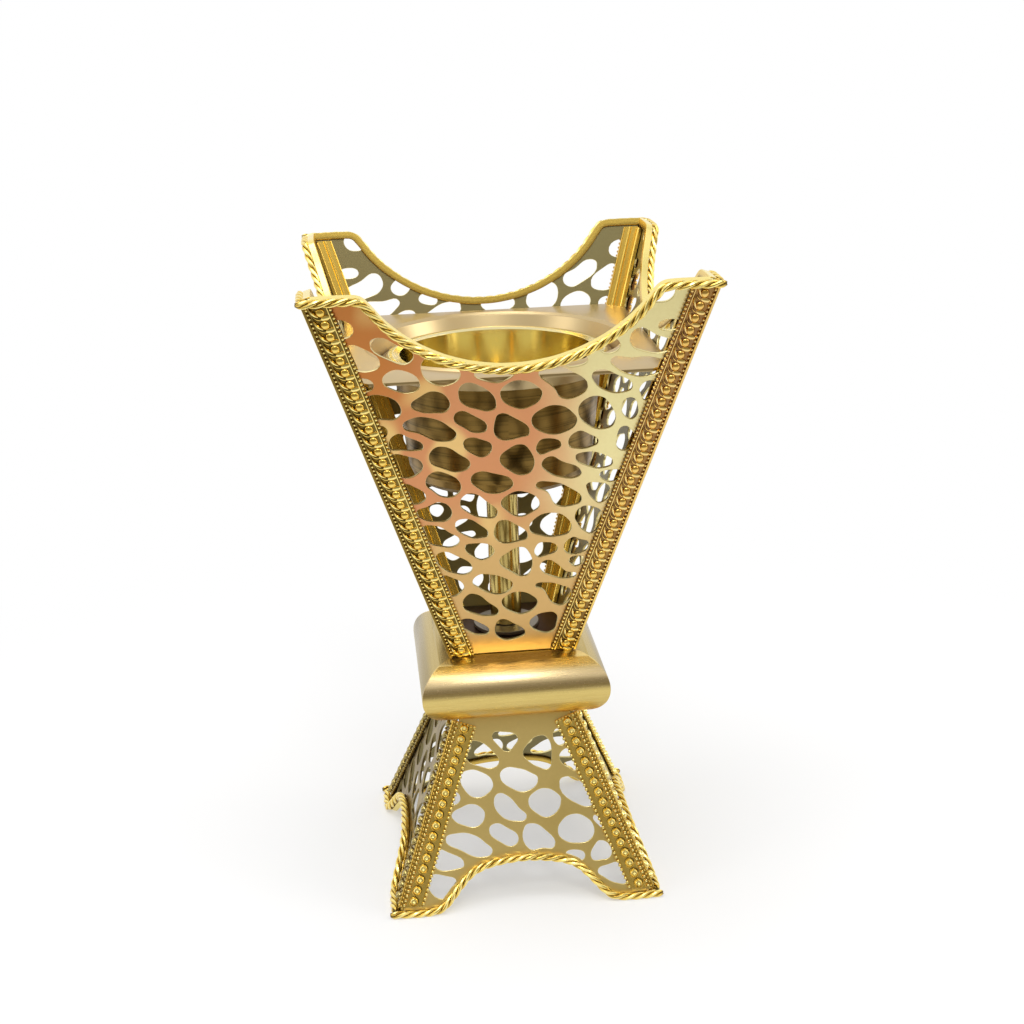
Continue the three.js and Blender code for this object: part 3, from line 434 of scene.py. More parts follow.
def trim_finish(slot, roughness, lift, painted_sides):
    """Gold from the stored tone: dark in the hollows as patina and painted shade, pale on the crests as a
    painted highlight; lift brightens it, and painted_sides sets how far the right side takes a warm
    painted reflection and the left side a painted shade.
    """
    colours = bpy.context.scene.mabkhara_colours
    finish = Finish(slot)
    place = finish.object_place()
    cloud = finish.noise(place, 120)
    fine = finish.noise(place, TRIM_GRAIN)
    height = finish.stored("light_and_patina") + (cloud - 0.5) * 0.2 + lift
    metal = finish.bands(
        height, colours.patina, (0.02, 0.3, colours.gold_deep), (0.25, 0.6, colours.gold),
        (0.75, 1.0, colours.gold_pale),
    )
    x, y, z = finish.axes(place)
    # Painted reflection in rose gold on the right side, painted shade on the left
    right = finish.between(x, 0.0, 0.05) * finish.between(z, 0.07, 0.1)
    warm = finish.mix(right * painted_sides * 0.3, metal, colours.rose_reflection)
    colour = finish.mix(left_side(finish, x, y) * painted_sides * 0.7, warm, colours.side_shade_brass)
    rough = roughness + fine * 0.12 + finish.between(height, 0.5, 0.1) * 0.15
    return finish.made(colour, rough, fine, 0.02 * MM)


def smooth_finish(slot, metal, shadow, roughness):
    """Smooth polished or satin metal with faint clouds and fine scratches."""
    finish = Finish(slot)
    place = finish.object_place()
    cloud = finish.noise(place, 60)
    fine = finish.noise(place, SMOOTH_GRAIN)
    colour = finish.mix(finish.between(cloud, 0.4, 0.75) * 0.2, metal, shadow)
    return finish.made(colour, roughness + cloud * 0.06 + fine * 0.04, fine, 0.008 * MM)


def brushed_finish(slot, metal, shadow, roughness, streak, lines, along_sides, reflection_band_node=None):
    """Metal brushed in lines along the sides of a square, or else round the axis.

    Streak is the share of the deep tone in the lines, and lines is how close they lie. With
    reflection_band_node, the metal takes bands of painted reflection up that node: orange-gold at its
    foot, paler upwards, and greyer on its left and right as painted shade.
    """
    colours = bpy.context.scene.mabkhara_colours
    finish = Finish(slot)
    x, y, z = finish.axes(finish.object_place())
    if along_sides:
        along = finish.maths("MINIMUM", abs(x), abs(y))
        away = finish.maths("MAXIMUM", abs(x), abs(y))
    else:
        along = finish.maths("ARCTAN2", x, y) * 0.01
        away = finish.distance_from_axis(x, y)
    if reflection_band_node:
        low, high = (corner.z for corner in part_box(reflection_band_node))
        height = (z - low) / (high - low)
        front = finish.bands(
            height, colours.amber_reflection, (0.08, 0.24, metal), (0.5, 0.66, colours.satin),
            (0.8, 0.92, colours.glow),
        )
        metal = finish.mix(finish.between(abs(x) - abs(y), 0.0, MM) * 0.5, front, colours.shade_grey)
    grain = finish.noise(finish.vector(along * 60, away * lines, z * lines), 1, roughness=0.7)
    speck = finish.noise(finish.object_place(), BRUSHED_GRAIN, detail=2)
    colour = finish.mix(finish.between(grain, 0.45, 0.75) * streak, metal, shadow)
    rough = roughness + grain * 0.12 + finish.between(speck, 0.6, 0.8) * 0.15
    return finish.made(colour, rough, grain * 0.7 + speck * 0.3, 0.02 * MM)


def make_finishes():
    """Every material slot of the record, by name."""
    colours = bpy.context.scene.mabkhara_colours

    def tinted(colour, shadow, roughness, **more):
        return {"metal": colour, "shadow": shadow, "roughness": roughness, **more}

    # The collar's bands of painted reflection follow its own height
    collar = {"streak": 0.3, "lines": 2600, "along_sides": True, "reflection_band_node": "collar"}
    drum = {"streak": 0.9, "lines": 1300, "along_sides": False}
    looks = {
        "body_sheet": (body_sheet_finish, {}),
        "base_sheet": (base_sheet_finish, {}),
        "rope_trim": (trim_finish, {"roughness": 0.18, "lift": 0.06, "painted_sides": 0.0}),
        "corner_strip": (trim_finish, {"roughness": 0.14, "lift": 0.0, "painted_sides": 1.0}),
        "inner_trim": (smooth_finish, tinted(colours.gold, colours.gold_deep, 0.2)),
        "collar_brass": (brushed_finish, tinted(colours.brushed, colours.gold_deep, 0.22, **collar)),
        "stem_brass": (smooth_finish, tinted(colours.brushed, colours.gold_deep, 0.16)),
        "tray_brass": (smooth_finish, tinted(colours.satin, colours.tan, 0.3)),
        "holder_brass": (brushed_finish, tinted(colours.bronze, colours.patina, 0.24, **drum)),
        "cup_brass": (smooth_finish, tinted(colours.polished, colours.tan, 0.06)),
        "floor_steel": (smooth_finish, tinted(colours.brown, colours.patina, 0.4)),
        "hardware": (smooth_finish, tinted(colours.zinc, colours.brown, 0.35)),
    }
    return {slot: finish(slot, **look) for slot, (finish, look) in looks.items()}


# Shared mesh work
def merged(mesh):
    """A bmesh of a mesh, with its vertices merged."""
    bm = bmesh.new()
    bm.from_mesh(mesh)
    bmesh.ops.remove_doubles(bm, verts=bm.verts[:], dist=MERGE)
    return bm


def cad_copy(node):
    """A copy of a CAD node's mesh with its vertices merged."""
    return merged(frame["nodes"][node].data)


def chains(edges):
    """Runs of vertices along loose edges; a closed run names its first vertex only once."""
    left = dict.fromkeys(edges)
    runs = []
    while left:
        run = list(left.popitem()[0].verts)
        for _ in range(2):
            step = next((e for e in run[-1].link_edges if e in left), None)
            while step:
                del left[step]
                run.append(step.other_vert(run[-1]))
                step = next((e for e in run[-1].link_edges if e in left), None)
            run.reverse()
        runs.append(run[:-1] if run[0] is run[-1] else run)
    return runs


def left_of(points, i):
    """Direction to the left of a run of points at one of them, flat in the run's plane."""
    along = (points[min(i + 1, len(points) - 1)] - points[max(i - 1, 0)]).normalized()
    return Vector((-along.y, along.x))


def turn_at(points, i):
    """How sharply a run of points turns at one of them."""
    before = points[i] - points[i - 1]
    after = points[(i + 1) % len(points)] - points[i]
    return before.angle(after, 0)


def add_smooth(curve, points, cyclic, corner=math.pi):
    """A smooth spline through points, with straight corners where it turns more than the given angle."""
    spline = curve.splines.new("BEZIER")
    spline.bezier_points.add(len(points) - 1)
    spline.use_cyclic_u = cyclic
    for i, (knot, point) in enumerate(zip(spline.bezier_points, points)):
        at_end = not cyclic and i in (0, len(points) - 1)
        kind = "VECTOR" if at_end or turn_at(points, i) > corner else "AUTO"
        knot.co = point.to_3d()
        knot.handle_left_type = kind
        knot.handle_right_type = kind


def new_curve(name, **settings):
    """A curve with some of its settings given."""
    curve = bpy.data.curves.new(name, "CURVE")
    for setting, value in settings.items():
        setattr(curve, setting, value)
    return curve


def curve_mesh(curve):
    """The mesh of a curve, which is used up."""
    holder = bpy.data.objects.new(curve.name, curve)
    bpy.context.scene.collection.objects.link(holder)
    bpy.context.view_layer.update()
    mesh = bpy.data.meshes.new_from_object(holder.evaluated_get(bpy.context.evaluated_depsgraph_get()))
    bpy.data.objects.remove(holder)
    bpy.data.curves.remove(curve)
    return mesh


def braced(points, cyclic, reach):
    """A run of points with stops near the ends of its long stretches, so that these stay straight."""
    result = []
    for i, point in enumerate(points):
        if i or cyclic:
            before = points[i - 1]
            stretch = point - before
            if stretch.length > 5 * reach:
                step = stretch.normalized() * reach
                result += [before + step, point - step]
        result.append(point)
    return result


def smoothed(points, cyclic, corner, steps):
    """A fine run of points along the smooth spline through a coarse one."""
    curve = new_curve("line", dimensions="3D", resolution_u=steps)
    add_smooth(curve, points, cyclic, corner)
    mesh = curve_mesh(curve)
    fine = [vertex.co.copy() for vertex in mesh.vertices]
    bpy.data.meshes.remove(mesh)
    return fine


def even_steps(points, step):
    """The same run of points, walked in even steps."""
    lengths = [(b - a).length for a, b in zip(points, points[1:])]
    total = sum(lengths)
    number = max(2, round(total / step))
    walked, i, result = 0.0, 0, []
    for k in range(number + 1):
        want = total * k / number
        while i < len(lengths) - 1 and walked + lengths[i] < want:
            walked += lengths[i]
            i += 1
        result.append(points[i].lerp(points[i + 1], min(1, (want - walked) / lengths[i])))
    return result


def skin(bm, rings, tones=None):
    """A closed skin over rings of points, capped at both ends; tones are the painted light and patina tone
    round a ring.
    """
    around = len(rings[0])
    made = bmesh.ops.create_grid(bm, x_segments=around, y_segments=len(rings) - 1, size=1)["verts"]
    for row, ring in enumerate(rings):
        for column in range(around + 1):
            vertex = made[row * (around + 1) + column]
            vertex.co = ring[column % around]
            if tones:
                vertex[bm.verts.layers.float["light_and_patina"]] = tones[column % around]
    seam = [made[row * (around + 1) + column] for row in range(len(rings)) for column in (0, around)]
    bmesh.ops.remove_doubles(bm, verts=seam, dist=MERGE)
    kept = [vertex for vertex in made if vertex.is_valid]
    open_edges = {e for v in kept for e in v.link_edges if e.is_boundary}
    bmesh.ops.holes_fill(bm, edges=list(open_edges), sides=0)
    return kept


def ball(bm, place, radius, around=8, rows=4):
    """A small bead; radius may be three numbers, and place may be a matrix."""
    where = place if isinstance(place, Matrix) else Matrix.Translation(place)
    sizes = radius if isinstance(radius, tuple) else (radius, radius, radius)
    matrix = where @ Matrix.Diagonal((*sizes, 1))
    return bmesh.ops.create_uvsphere(
        bm, u_segments=around, v_segments=rows, radius=1, matrix=matrix
    )["verts"]


def ease_edges(bm, offset):
    """Rounds the edges that count as corners."""
    sharp = [e for e in bm.edges if e.is_manifold and e.calc_face_angle(0) > FLAT_CORNER]
    bmesh.ops.bevel(
        bm, geom=sharp, offset=offset, offset_type="OFFSET", affect="EDGES", segments=2,
        profile=0.5, material=-1, clamp_overlap=True,
    )


def mesh_from(bm, name, matrix=None, sharp=math.radians(30)):
    """The finished mesh of a bmesh, which is used up."""
    if matrix:
        bmesh.ops.transform(bm, matrix=matrix, verts=bm.verts[:])
    bmesh.ops.recalc_face_normals(bm, faces=bm.faces[:])
    mesh = bpy.data.meshes.new(name)
    bm.to_mesh(mesh)
    bm.free()
    mesh.polygons.foreach_set("use_smooth", [True] * len(mesh.polygons))
    mesh.set_sharp_from_angle(angle=sharp)
    return mesh


def turned_copy(mesh, name, quarters, mirrored=False):
    """A copy of a mesh on another face of the burner, or on the other end of the same face."""
    bm = bmesh.new()
    bm.from_mesh(mesh)
    if mirrored:
        bmesh.ops.scale(bm, vec=(-1, 1, 1), verts=bm.verts[:])
        bmesh.ops.reverse_faces(bm, faces=bm.faces[:])
    spin = Matrix.Rotation(quarters * QUARTER_TURN, 4, "Z")
    bmesh.ops.transform(bm, matrix=spin, verts=bm.verts[:])
    copy = mesh.copy()
    copy.name = name
    bm.to_mesh(copy)
    bm.free()
    return copy


def place_piece(name, mesh, finish, *nodes, body="burner"):
    """Adds a finished mesh as a piece that stands for CAD nodes."""
    mesh.materials.clear()
    mesh.materials.append(bpy.data.materials[finish_name(finish)])
    piece = bpy.data.objects.new(name, mesh)
    bpy.context.scene.collection.objects.link(piece)
    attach(piece, body)
    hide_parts(*nodes)


# The four leaning faces of the body and of the base
class Slope:
    """The front face of a taper, with a frame that runs across, up the slant and outwards."""

    def __init__(self, node):
        bm = cad_copy(node)
        outward = Vector()
        for face in bm.faces:
            if face.normal.y < -0.5:
                outward += face.normal * face.calc_area()
        self.outward = outward.normalized()
        self.up = self.outward.cross(Vector((1, 0, 0)))
        reach = max(self.outward.dot(vertex.co) for vertex in bm.verts)
        self.origin = Vector((0, reach / self.outward.y, 0))
        bm.free()
        turn = Matrix((Vector((1, 0, 0)), self.up, self.outward)).transposed().to_4x4()
        self.matrix = Matrix.Translation(self.origin) @ turn
        self.corner_slope = math.hypot(1, self.up.y)

    def height_at(self, z, depth):
        """Place up the slant of a point at a height and a depth."""
        return (z - depth * self.outward.z) / self.up.z

    def corner_at(self, v, depth):
        """Place across of the corner, where this face meets its neighbour."""
        return -(self.origin.y + v * self.up.y + depth * self.outward.y)

    def loops(self, node):
        """Outline and holes of a panel's outer side, the outline first."""
        bm = cad_copy(node)
        inverse = self.matrix.inverted()
        front = {f for f in bm.faces if f.normal.dot(self.outward) > 0.99}
        rim = [e for e in bm.edges if sum(f in front for f in e.link_faces) == 1]
        flat = [[(inverse @ v.co).to_2d() for v in run] for run in chains(rim)]
        bm.free()
        flat = [thinned(run, least=0.25 * MM) for run in flat]
        return sorted(flat, key=lambda run: max(p.x for p in run) - min(p.x for p in run), reverse=True)


def thinned(points, least):
    """A closed run of points, less those that nearly touch the one before or lie on a straight line."""
    kept = [p for i, p in enumerate(points) if (p - points[i - 1]).length > least]
    return [p for i, p in enumerate(kept) if turn_at(kept, i) > STRAIGHT / 2]


def free_edge(outline, at_top):
    """The shaped edge of a panel's outline, from left to right."""
    straight = min(p.y for p in outline) if at_top else max(p.y for p in outline)
    return sorted((p for p in outline if abs(p.y - straight) > MM), key=lambda p: p.x)


def shifted(points, distance):
    """A run of points moved to its left."""
    return [point + left_of(points, i) * distance for i, point in enumerate(points)]


def panel_mesh(slope, node, at_top, edge_shift, name):
    """A pierced sheet with smooth holes, its free edge moved by a distance."""
    sizes = bpy.context.scene.mabkhara_sheets
    outline, *holes = slope.loops(node)
    edge = free_edge(outline, at_top)
    rest = sorted((p for p in outline if p not in edge), key=lambda p: p.x, reverse=True)
    curve = new_curve(
        name, dimensions="2D", fill_mode="BOTH", resolution_u=sizes.steps, offset=-sizes.edge,
        extrude=sizes.thickness / 2 - sizes.edge, bevel_depth=sizes.edge, bevel_resolution=1,
    )
    add_smooth(curve, shifted(edge, edge_shift) + rest, cyclic=True, corner=FLAT_CORNER)
    for hole in holes:
        add_smooth(curve, hole, cyclic=True)
    bm = merged(curve_mesh(curve))
    # Inner side, for painted shade, and cut edges, for a painted highlight
    inner = bm.verts.layers.float.new("inner")
    cut = bm.verts.layers.float.new("cut")
    for vertex in bm.verts:
        vertex[inner] = float(vertex.co.z < 0)
        vertex[cut] = float(abs(vertex.co.z) < sizes.thickness / 2 - MERGE)
    bmesh.ops.translate(bm, verts=bm.verts[:], vec=(0, 0, -sizes.thickness / 2))
    return mesh_from(bm, name, slope.matrix, sharp=math.radians(16))


def rope_line(slope, panel, at_top, below, half):
    """The rope's middle along a panel's free edge, in even steps, out to a half width at both ends."""
    trim = bpy.context.scene.mabkhara_trim
    line = shifted(free_edge(slope.loops(panel)[0], at_top), -below)
    line[0].x, line[-1].x = -half, half
    line[0].y, line[-1].y = line[1].y, line[-2].y
    fine = smoothed(line, cyclic=False, corner=FLAT_CORNER, steps=8)
    return even_steps(fine, trim.step)


def swell(least, angle):
    """A share that grows from its least to 1 at a quarter turn of an angle, and falls back beyond it."""
    return least + (1 - least) * math.sin(angle)


def rope_mesh(line, name):
    """Strands twisted along a line; how far they stand from it is stored as their tone: painted highlight
    on the crests, painted shade and patina between the strands.
    """
    trim = bpy.context.scene.mabkhara_trim
    curve = new_curve(
        name, dimensions="3D", bevel_depth=trim.strand_radius, bevel_resolution=3, use_fill_caps=True
    )
    swing = trim.rope_radius - trim.strand_radius
    last = len(line) - 1
    middles = [point + Vector((0, 0, trim.rope_depth)) for point in line]
    for strand in range(STRANDS):
        spline = curve.splines.new("POLY")
        spline.points.add(last)
        for i, middle in enumerate(middles):
            turn = 2 * math.pi * (i * trim.step / trim.pitch + strand / STRANDS)
            ease = QUARTER_TURN * min(1, min(i, last - i) * trim.step / trim.tip)
            offset = left_of(line, i).to_3d() * math.sin(turn) + Vector((0, 0, math.cos(turn)))
            spline.points[i].co = (*(middle + offset * swing * swell(0.35, ease)), 1)
            spline.points[i].radius = swell(0.6, ease)
    bm = merged(curve_mesh(curve))
    light_and_patina = bm.verts.layers.float.new("light_and_patina")
    tree = KDTree(len(middles))
    for i, middle in enumerate(middles):
        tree.insert(middle, i)
    tree.balance()
    hollow = 0.55
    for vertex in bm.verts:
        share = tree.find(vertex.co)[2] / trim.rope_radius
        vertex[light_and_patina] = min(1, max(0, (share - hollow) / (1 - hollow)))
    return bm


def band_rings(line, trim, side):
    """The band's section along a line, and its tone: a pale top as painted highlight, a dark leg as
    painted shade; side is 1 where the sheet lies below the line.
    """
    wall, back, curl, top = trim.band_wall, -trim.band_back, trim.band_wall / 3, trim.band_top
    front, foot = trim.band_front, -trim.band_leg
    section = {
        (top, front): 0.9, (top, back + curl): 0.95, (top - curl, back): 0.8,
        (foot + curl, back): 0.2, (foot, back + curl): 0.2,
        (foot, back + wall - curl): 0.2, (foot + curl, back + wall): 0.2,
        (top - wall - curl, back + wall): 0.3, (top - wall, back + wall + curl): 0.3,
        (top - wall, front): 0.8,
    }
    rings = []
    for i, point in enumerate(line):
        up = left_of(line, i).to_3d() * side
        rings.append([point + up * rise + Vector((0, 0, depth)) for rise, depth in section])
    return rings, list(section.values())


def trimmed_edge(slope, line, name, inner_half, side):
    """Rope and band of one edge as a finished mesh; side is 1 where the sheet lies below the edge."""
    trim = bpy.context.scene.mabkhara_trim
    bm = rope_mesh(line, name)
    inside = [p for p in line if abs(p.x) <= inner_half]
    skin(bm, *band_rings(inside, trim, side))
    bmesh.ops.transform(bm, matrix=slope.matrix, verts=bm.verts[:])
    for vertex in bm.verts:
        vertex.co.z = max(0, vertex.co.z)
    return mesh_from(bm, name)


# Corner strips
class Bar:
    """The ground of a strip at the right end of a face: places across, along and above it."""

    def __init__(self, slope, node, face, square_top=False):
        low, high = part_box(node)
        self.slope, self.face = slope, face
        self.bottom = slope.height_at(low.z, face)
        self.top = slope.height_at(high.z, face)
        self.square_top = square_top

    def place(self, width, share, depth):
        """A point at a width inwards from the corner, a share of the length and a depth."""
        slope = self.slope
        inward = Vector((-width * slope.corner_slope, 0))
        low = Vector((slope.corner_at(self.bottom, self.face), self.bottom)) + inward
        if self.square_top:
            inward = Vector((-1, -slope.up.y)).normalized() * width
        high = Vector((slope.corner_at(self.top, self.face), self.top)) + inward
        return low.lerp(high, share).to_3d() + Vector((0, 0, depth))

    def along(self):
        """The strip's corner line from its bottom to its top."""
        return self.place(0, 1, 0) - self.place(0, 0, 0)

    def turn(self):
        """How far the strip leans over to the side, as an angle."""
        return math.atan2(-self.along().x, self.along().y)

    def number(self, pitch):
        """How many copies fit along the strip."""
        return round(self.along().length / pitch)

    def rings(self, section):
        """A section of widths and depths at the strip's bottom and at its top."""
        return [[self.place(width, share, depth) for width, depth in section] for share in (0, 1)]

    def lay(self, bm, section):
        """A straight bar along the strip; its section gives the tone of painted light and patina for each
        width and depth.
        """
        skin(bm, self.rings(section), list(section.values()))

    def motif(self, width, share, depth, hook):
        """A frame on the strip: across it to the right (hook 1) or left (-1), up along it and outwards."""
        turn = Matrix.Rotation(self.turn(), 4, "Z") @ Matrix.Diagonal((hook, 1, 1, 1))
        return Matrix.Translation(self.place(width, share, depth)) @ turn


def light_and_patina_mesh():
    """An empty bmesh that can store the tone of painted light and patina."""
    bm = bmesh.new()
    bm.verts.layers.float.new("light_and_patina")
    return bm


def shaded(bm, verts, low, high):
    """Stores the tone of painted shade and highlight of a part of the trim, from its lowest point to its
    highest.
    """
    light_and_patina = bm.verts.layers.float["light_and_patina"]
    bottom = min(vertex.co.z for vertex in verts)
    rise = max(vertex.co.z for vertex in verts) - bottom
    for vertex in verts:
        vertex[light_and_patina] = low + (high - low) * (vertex.co.z - bottom) / rise


def strip_ground(bm, bar, rail, beads, line, rail_tone, row_tone, flat_tone):
    """The strip's stamped ground with a rail on the corner; rail, beads and line are shares of its width.

    The tones are the painted light and patina tones of the rail, of the ground under the bead rows and of
    the flat between them.
    """
    sizes = bpy.context.scene.mabkhara_strips
    back, ground, face, width, lip = sizes.seat, sizes.recess, bar.face, sizes.width, sizes.lip
    mitre = (face - back) * -bar.slope.outward.y / bar.slope.corner_slope
    rail, beads, line, edge = width * rail, width * beads, width * line, width - sizes.bead_radius
    bar.lay(bm, {
        (mitre, back): 0.1, (0, face - lip): rail_tone, (lip, face): rail_tone,
        (rail - lip, face): rail_tone, (rail, face - lip): 0.2, (rail, ground): row_tone,
        (beads - 3 * lip, ground): row_tone, (beads, ground): flat_tone,
        (line - 3 * lip, ground): flat_tone, (line, ground): row_tone, (edge, ground): row_tone,
        (edge + lip, ground - lip): 0.1, (edge + lip, back): 0.0,
    })


def strip_line(bm, bar, share):
    """A thin raised line along a strip, at a share of its width."""
    sizes = bpy.context.scene.mabkhara_strips
    middle, lip = sizes.width * share, sizes.lip
    low, top = sizes.recess - lip, sizes.recess + 3 * lip
    bar.lay(bm, {
        (middle - 2 * lip, low): 0.3, (middle - lip, top): 0.9, (middle + lip, top): 0.9,
        (middle + 2 * lip, low): 0.3,
    })


def bead_row(bm, bar, share, size, pitch, low, high):
    """A row of small beads at a share of a strip's width, with their size as a share of a small bead's."""
    sizes = bpy.context.scene.mabkhara_strips
    radius, number = sizes.bead_radius * size, bar.number(pitch)
    for i in range(number):
        place = bar.place(sizes.width * share, (i + 0.5) / number, sizes.recess + radius * BEAD_SEAT)
        shaded(bm, ball(bm, place, radius), low, high)


def motif_row(bar, pitch, share, first, hook):
    """Frames of large motifs along a strip, at a share of its width, the first at a share of a pitch."""
    sizes = bpy.context.scene.mabkhara_strips
    width, number = sizes.width * share, bar.number(pitch)
    return [bar.motif(width, (i + first) / number, sizes.recess, hook) for i in range(number)]


def wire(bm, points, radius):
    """A thin wire through points, thinner towards both ends; gives its vertices."""
    corners, taller = 6, 1.4
    angles = [2 * math.pi * k / corners for k in range(corners)]
    rings = []
    for i, point in enumerate(points):
        side = left_of(points, i).to_3d()
        thick = radius * swell(0.35, math.pi * i / (len(points) - 1))
        rings.append([
            point + side * math.cos(angle) * thick + Vector((0, 0, math.sin(angle) * thick * taller))
            for angle in angles
        ])
    return skin(bm, rings)


def arc(frame_of, reach, first, last, steps=8):
    """Points round the middle of a frame, from one angle to another in degrees."""
    angles = [math.radians(first + (last - first) * i / steps) for i in range(steps + 1)]
    return [frame_of @ Vector((reach * math.cos(a), reach * math.sin(a), 0)) for a in angles]


def scroll(bm, motif, radius, thick):
    """A large bead in a curl, painted dark below and pale on top: a bright hook from above, a dark ring
    round the bead and dark lines below as painted shade with a bright line between, a wedge beyond.
    """
    bead = ball(bm, motif, (radius, radius, radius * 0.62), around=16, rows=8)
    shaded(bm, bead, 0.0, 0.85)
    spots = ((1.75, 1.75, 0.45), (1.6, 0.4, 0.45), (0.55, -0.6, 0.45))
    start, bend, end = (Vector(spot) * radius for spot in spots)
    shares = [i / 8 for i in range(9)]
    hook = [motif @ start.lerp(bend, share).lerp(bend.lerp(end, share), share) for share in shares]
    shaded(bm, wire(bm, hook, thick * 1.2), 0.5, 1.0)
    # Painted shade: a dark ring round the bead and dark lines below it
    shaded(bm, wire(bm, arc(motif, radius * 1.2, -120, 60), thick * 0.6), 0.0, 0.1)
    for reach, tone in ((1.35, 0.1), (1.6, 0.75), (1.85, 0.1)):
        shaded(bm, wire(bm, arc(motif, radius * reach, -20, -95), thick * 0.7), tone * 0.4, tone)
    below = motif @ Matrix.Translation((-0.7 * radius, -1.4 * radius, 0))
    wedge = ball(bm, below, (radius * 1.1, radius * 0.6, radius * 0.4), around=12, rows=6)
    shaded(bm, wedge, 0.5, 1.0)


def body_strip_mesh(slope, node, name, hook):
    """Bead rows, and a row of scrolls whose hooks reach to the right (1) or to the left (-1)."""
    sizes = bpy.context.scene.mabkhara_strips
    bar = Bar(slope, node, sizes.face)
    bm = light_and_patina_mesh()
    # The rail is painted darker on the left strips and paler on the right; the ground is dark as patina
    # and painted shade
    tones = {"rail_tone": 0.5 - 0.35 * hook, "row_tone": 0.12, "flat_tone": 0.14}
    strip_ground(bm, bar, rail=0.09, beads=0.2, line=0.86, **tones)
    strip_line(bm, bar, 0.83)
    for share, size in ((0.13, 0.95), (0.94, 1)):
        bead_row(bm, bar, share, size, sizes.bead_pitch, 0.2, 1.0)
    for motif in motif_row(bar, sizes.motif_pitch, 0.5 + 0.04 * hook, 0.55, hook):
        scroll(bm, motif, sizes.dome_radius, sizes.wire)
    return mesh_from(bm, name, slope.matrix)


def rosette(bm, motif, radius):
    """A large bead of four soft lobes with a dimple on top, paler upwards as a painted highlight, in a low
    ring painted dark as shade on its upper side and gold below.
    """
    verts = ball(bm, motif @ Matrix.Translation((0, 0, 0.2 * radius)), radius, around=20, rows=10)
    middle = motif.translation
    for vertex in verts:
        offset = vertex.co - middle
        flat = offset.to_2d().length
        lobes = 1 + 0.05 * math.cos(4 * math.atan2(offset.y, offset.x)) * min(1, flat / radius)
        vertex.co.x = middle.x + offset.x * lobes
        vertex.co.y = middle.y + offset.y * lobes
        vertex.co.z -= 0.5 * radius * max(0, 1 - flat / (0.4 * radius)) if offset.z > 0 else 0
    shaded(bm, verts, 0.5, 1.2)
    shaded(bm, wire(bm, arc(motif, radius * 1.12, 30, 210, steps=12), radius * 0.14), 0.0, 0.12)
    shaded(bm, wire(bm, arc(motif, radius * 1.16, 205, 335, steps=12), radius * 0.2), 0.3, 0.75)


def base_strip_mesh(slope, node, name, hook):
    """Two bead rows outside, rosettes, a flat, beads at the inner edge and across the cut top."""
    sizes = bpy.context.scene.mabkhara_strips
    bar = Bar(slope, node, sizes.base_face, square_top=True)
    bm = light_and_patina_mesh()
    # Tones of painted light and patina: a pale flat and a darker ground under the bead rows
    tones = {"rail_tone": 0.4, "row_tone": 0.35, "flat_tone": 0.85}
    strip_ground(bm, bar, rail=0.035, beads=0.26, line=0.9, **tones)
    strip_line(bm, bar, 0.29)
    bead_row(bm, bar, 0.08, 0.75, sizes.base_bead_pitch * 0.85, 0.3, 0.9)
    for share in (0.2, 0.94):
        bead_row(bm, bar, share, 1.1, sizes.base_bead_pitch, 0.35, 1.1)
    for motif in motif_row(bar, sizes.rosette_pitch, 0.53, 0.5, hook):
        rosette(bm, motif, sizes.rosette_radius)
    radius = sizes.bead_radius
    top = 1 - radius / bar.along().length
    for k in range(7):
        place = bar.place(sizes.width * (0.08 + 0.14 * k), top, sizes.recess + radius * BEAD_SEAT)
        shaded(bm, ball(bm, place, radius), 0.2, 0.9)
    return mesh_from(bm, name, slope.matrix)


def angle_leg_mesh(slope, node, name):
    """One smooth leg of an inner angle, with a shallow ridge along it and a rolled free edge."""
    sizes = bpy.context.scene.mabkhara_strips
    inner, outer, leg = -sizes.angle_inner, -sizes.angle_outer, sizes.angle_leg
    bar = Bar(slope, node, inner)
    bm = bmesh.new()
    step = (outer - inner) * -slope.outward.y / slope.corner_slope
    roll, ridge = sizes.angle_roll, leg * sizes.ridge_share
    section = [
        (-step, outer), (0, inner), (ridge - 2 * roll, inner), (ridge - roll, inner - roll),
        (ridge, inner - roll * 1.2), (ridge + roll, inner - roll), (ridge + 2 * roll, inner),
        (leg - 2 * roll, inner), (leg - roll, inner - roll), (leg, inner - roll / 2), (leg, outer),
    ]
    skin(bm, bar.rings(section))
    return mesh_from(bm, name, slope.matrix)


def joined_meshes(meshes, name):
    """Several meshes as one."""
    bm = bmesh.new()
    for mesh in meshes:
        bm.from_mesh(mesh)
    joined = meshes[0].copy()
    joined.name = name
    bm.to_mesh(joined)
    bm.free()
    return joined


# Turned pieces
def cornered(run):
    """A section's run with only the points where it turns, and with its ends if they lie on the axis."""
    ends = (0, len(run) - 1) if run[0].x < MERGE else ()
    return [p for i, p in enumerate(run) if i in ends or turn_at(run, i) > STRAIGHT]


def section_of(node):
    """The outline of a node in its middle plane, as runs of points of radius and height."""
    bm = cad_copy(node)
    whole = bm.verts[:] + bm.edges[:] + bm.faces[:]
    cut = bmesh.ops.bisect_plane(bm, geom=whole, dist=MERGE, plane_co=(0, 0, 0), plane_no=(1, 0, 0))
    rim = [
        e for e in cut["geom_cut"]
        if isinstance(e, bmesh.types.BMEdge) and max(v.co.y for v in e.verts) < MERGE
    ]
    runs = [[Vector((-v.co.y, 0, v.co.z)) for v in run] for run in chains(rim)]
    bm.free()
    return [cornered(run) for run in runs]


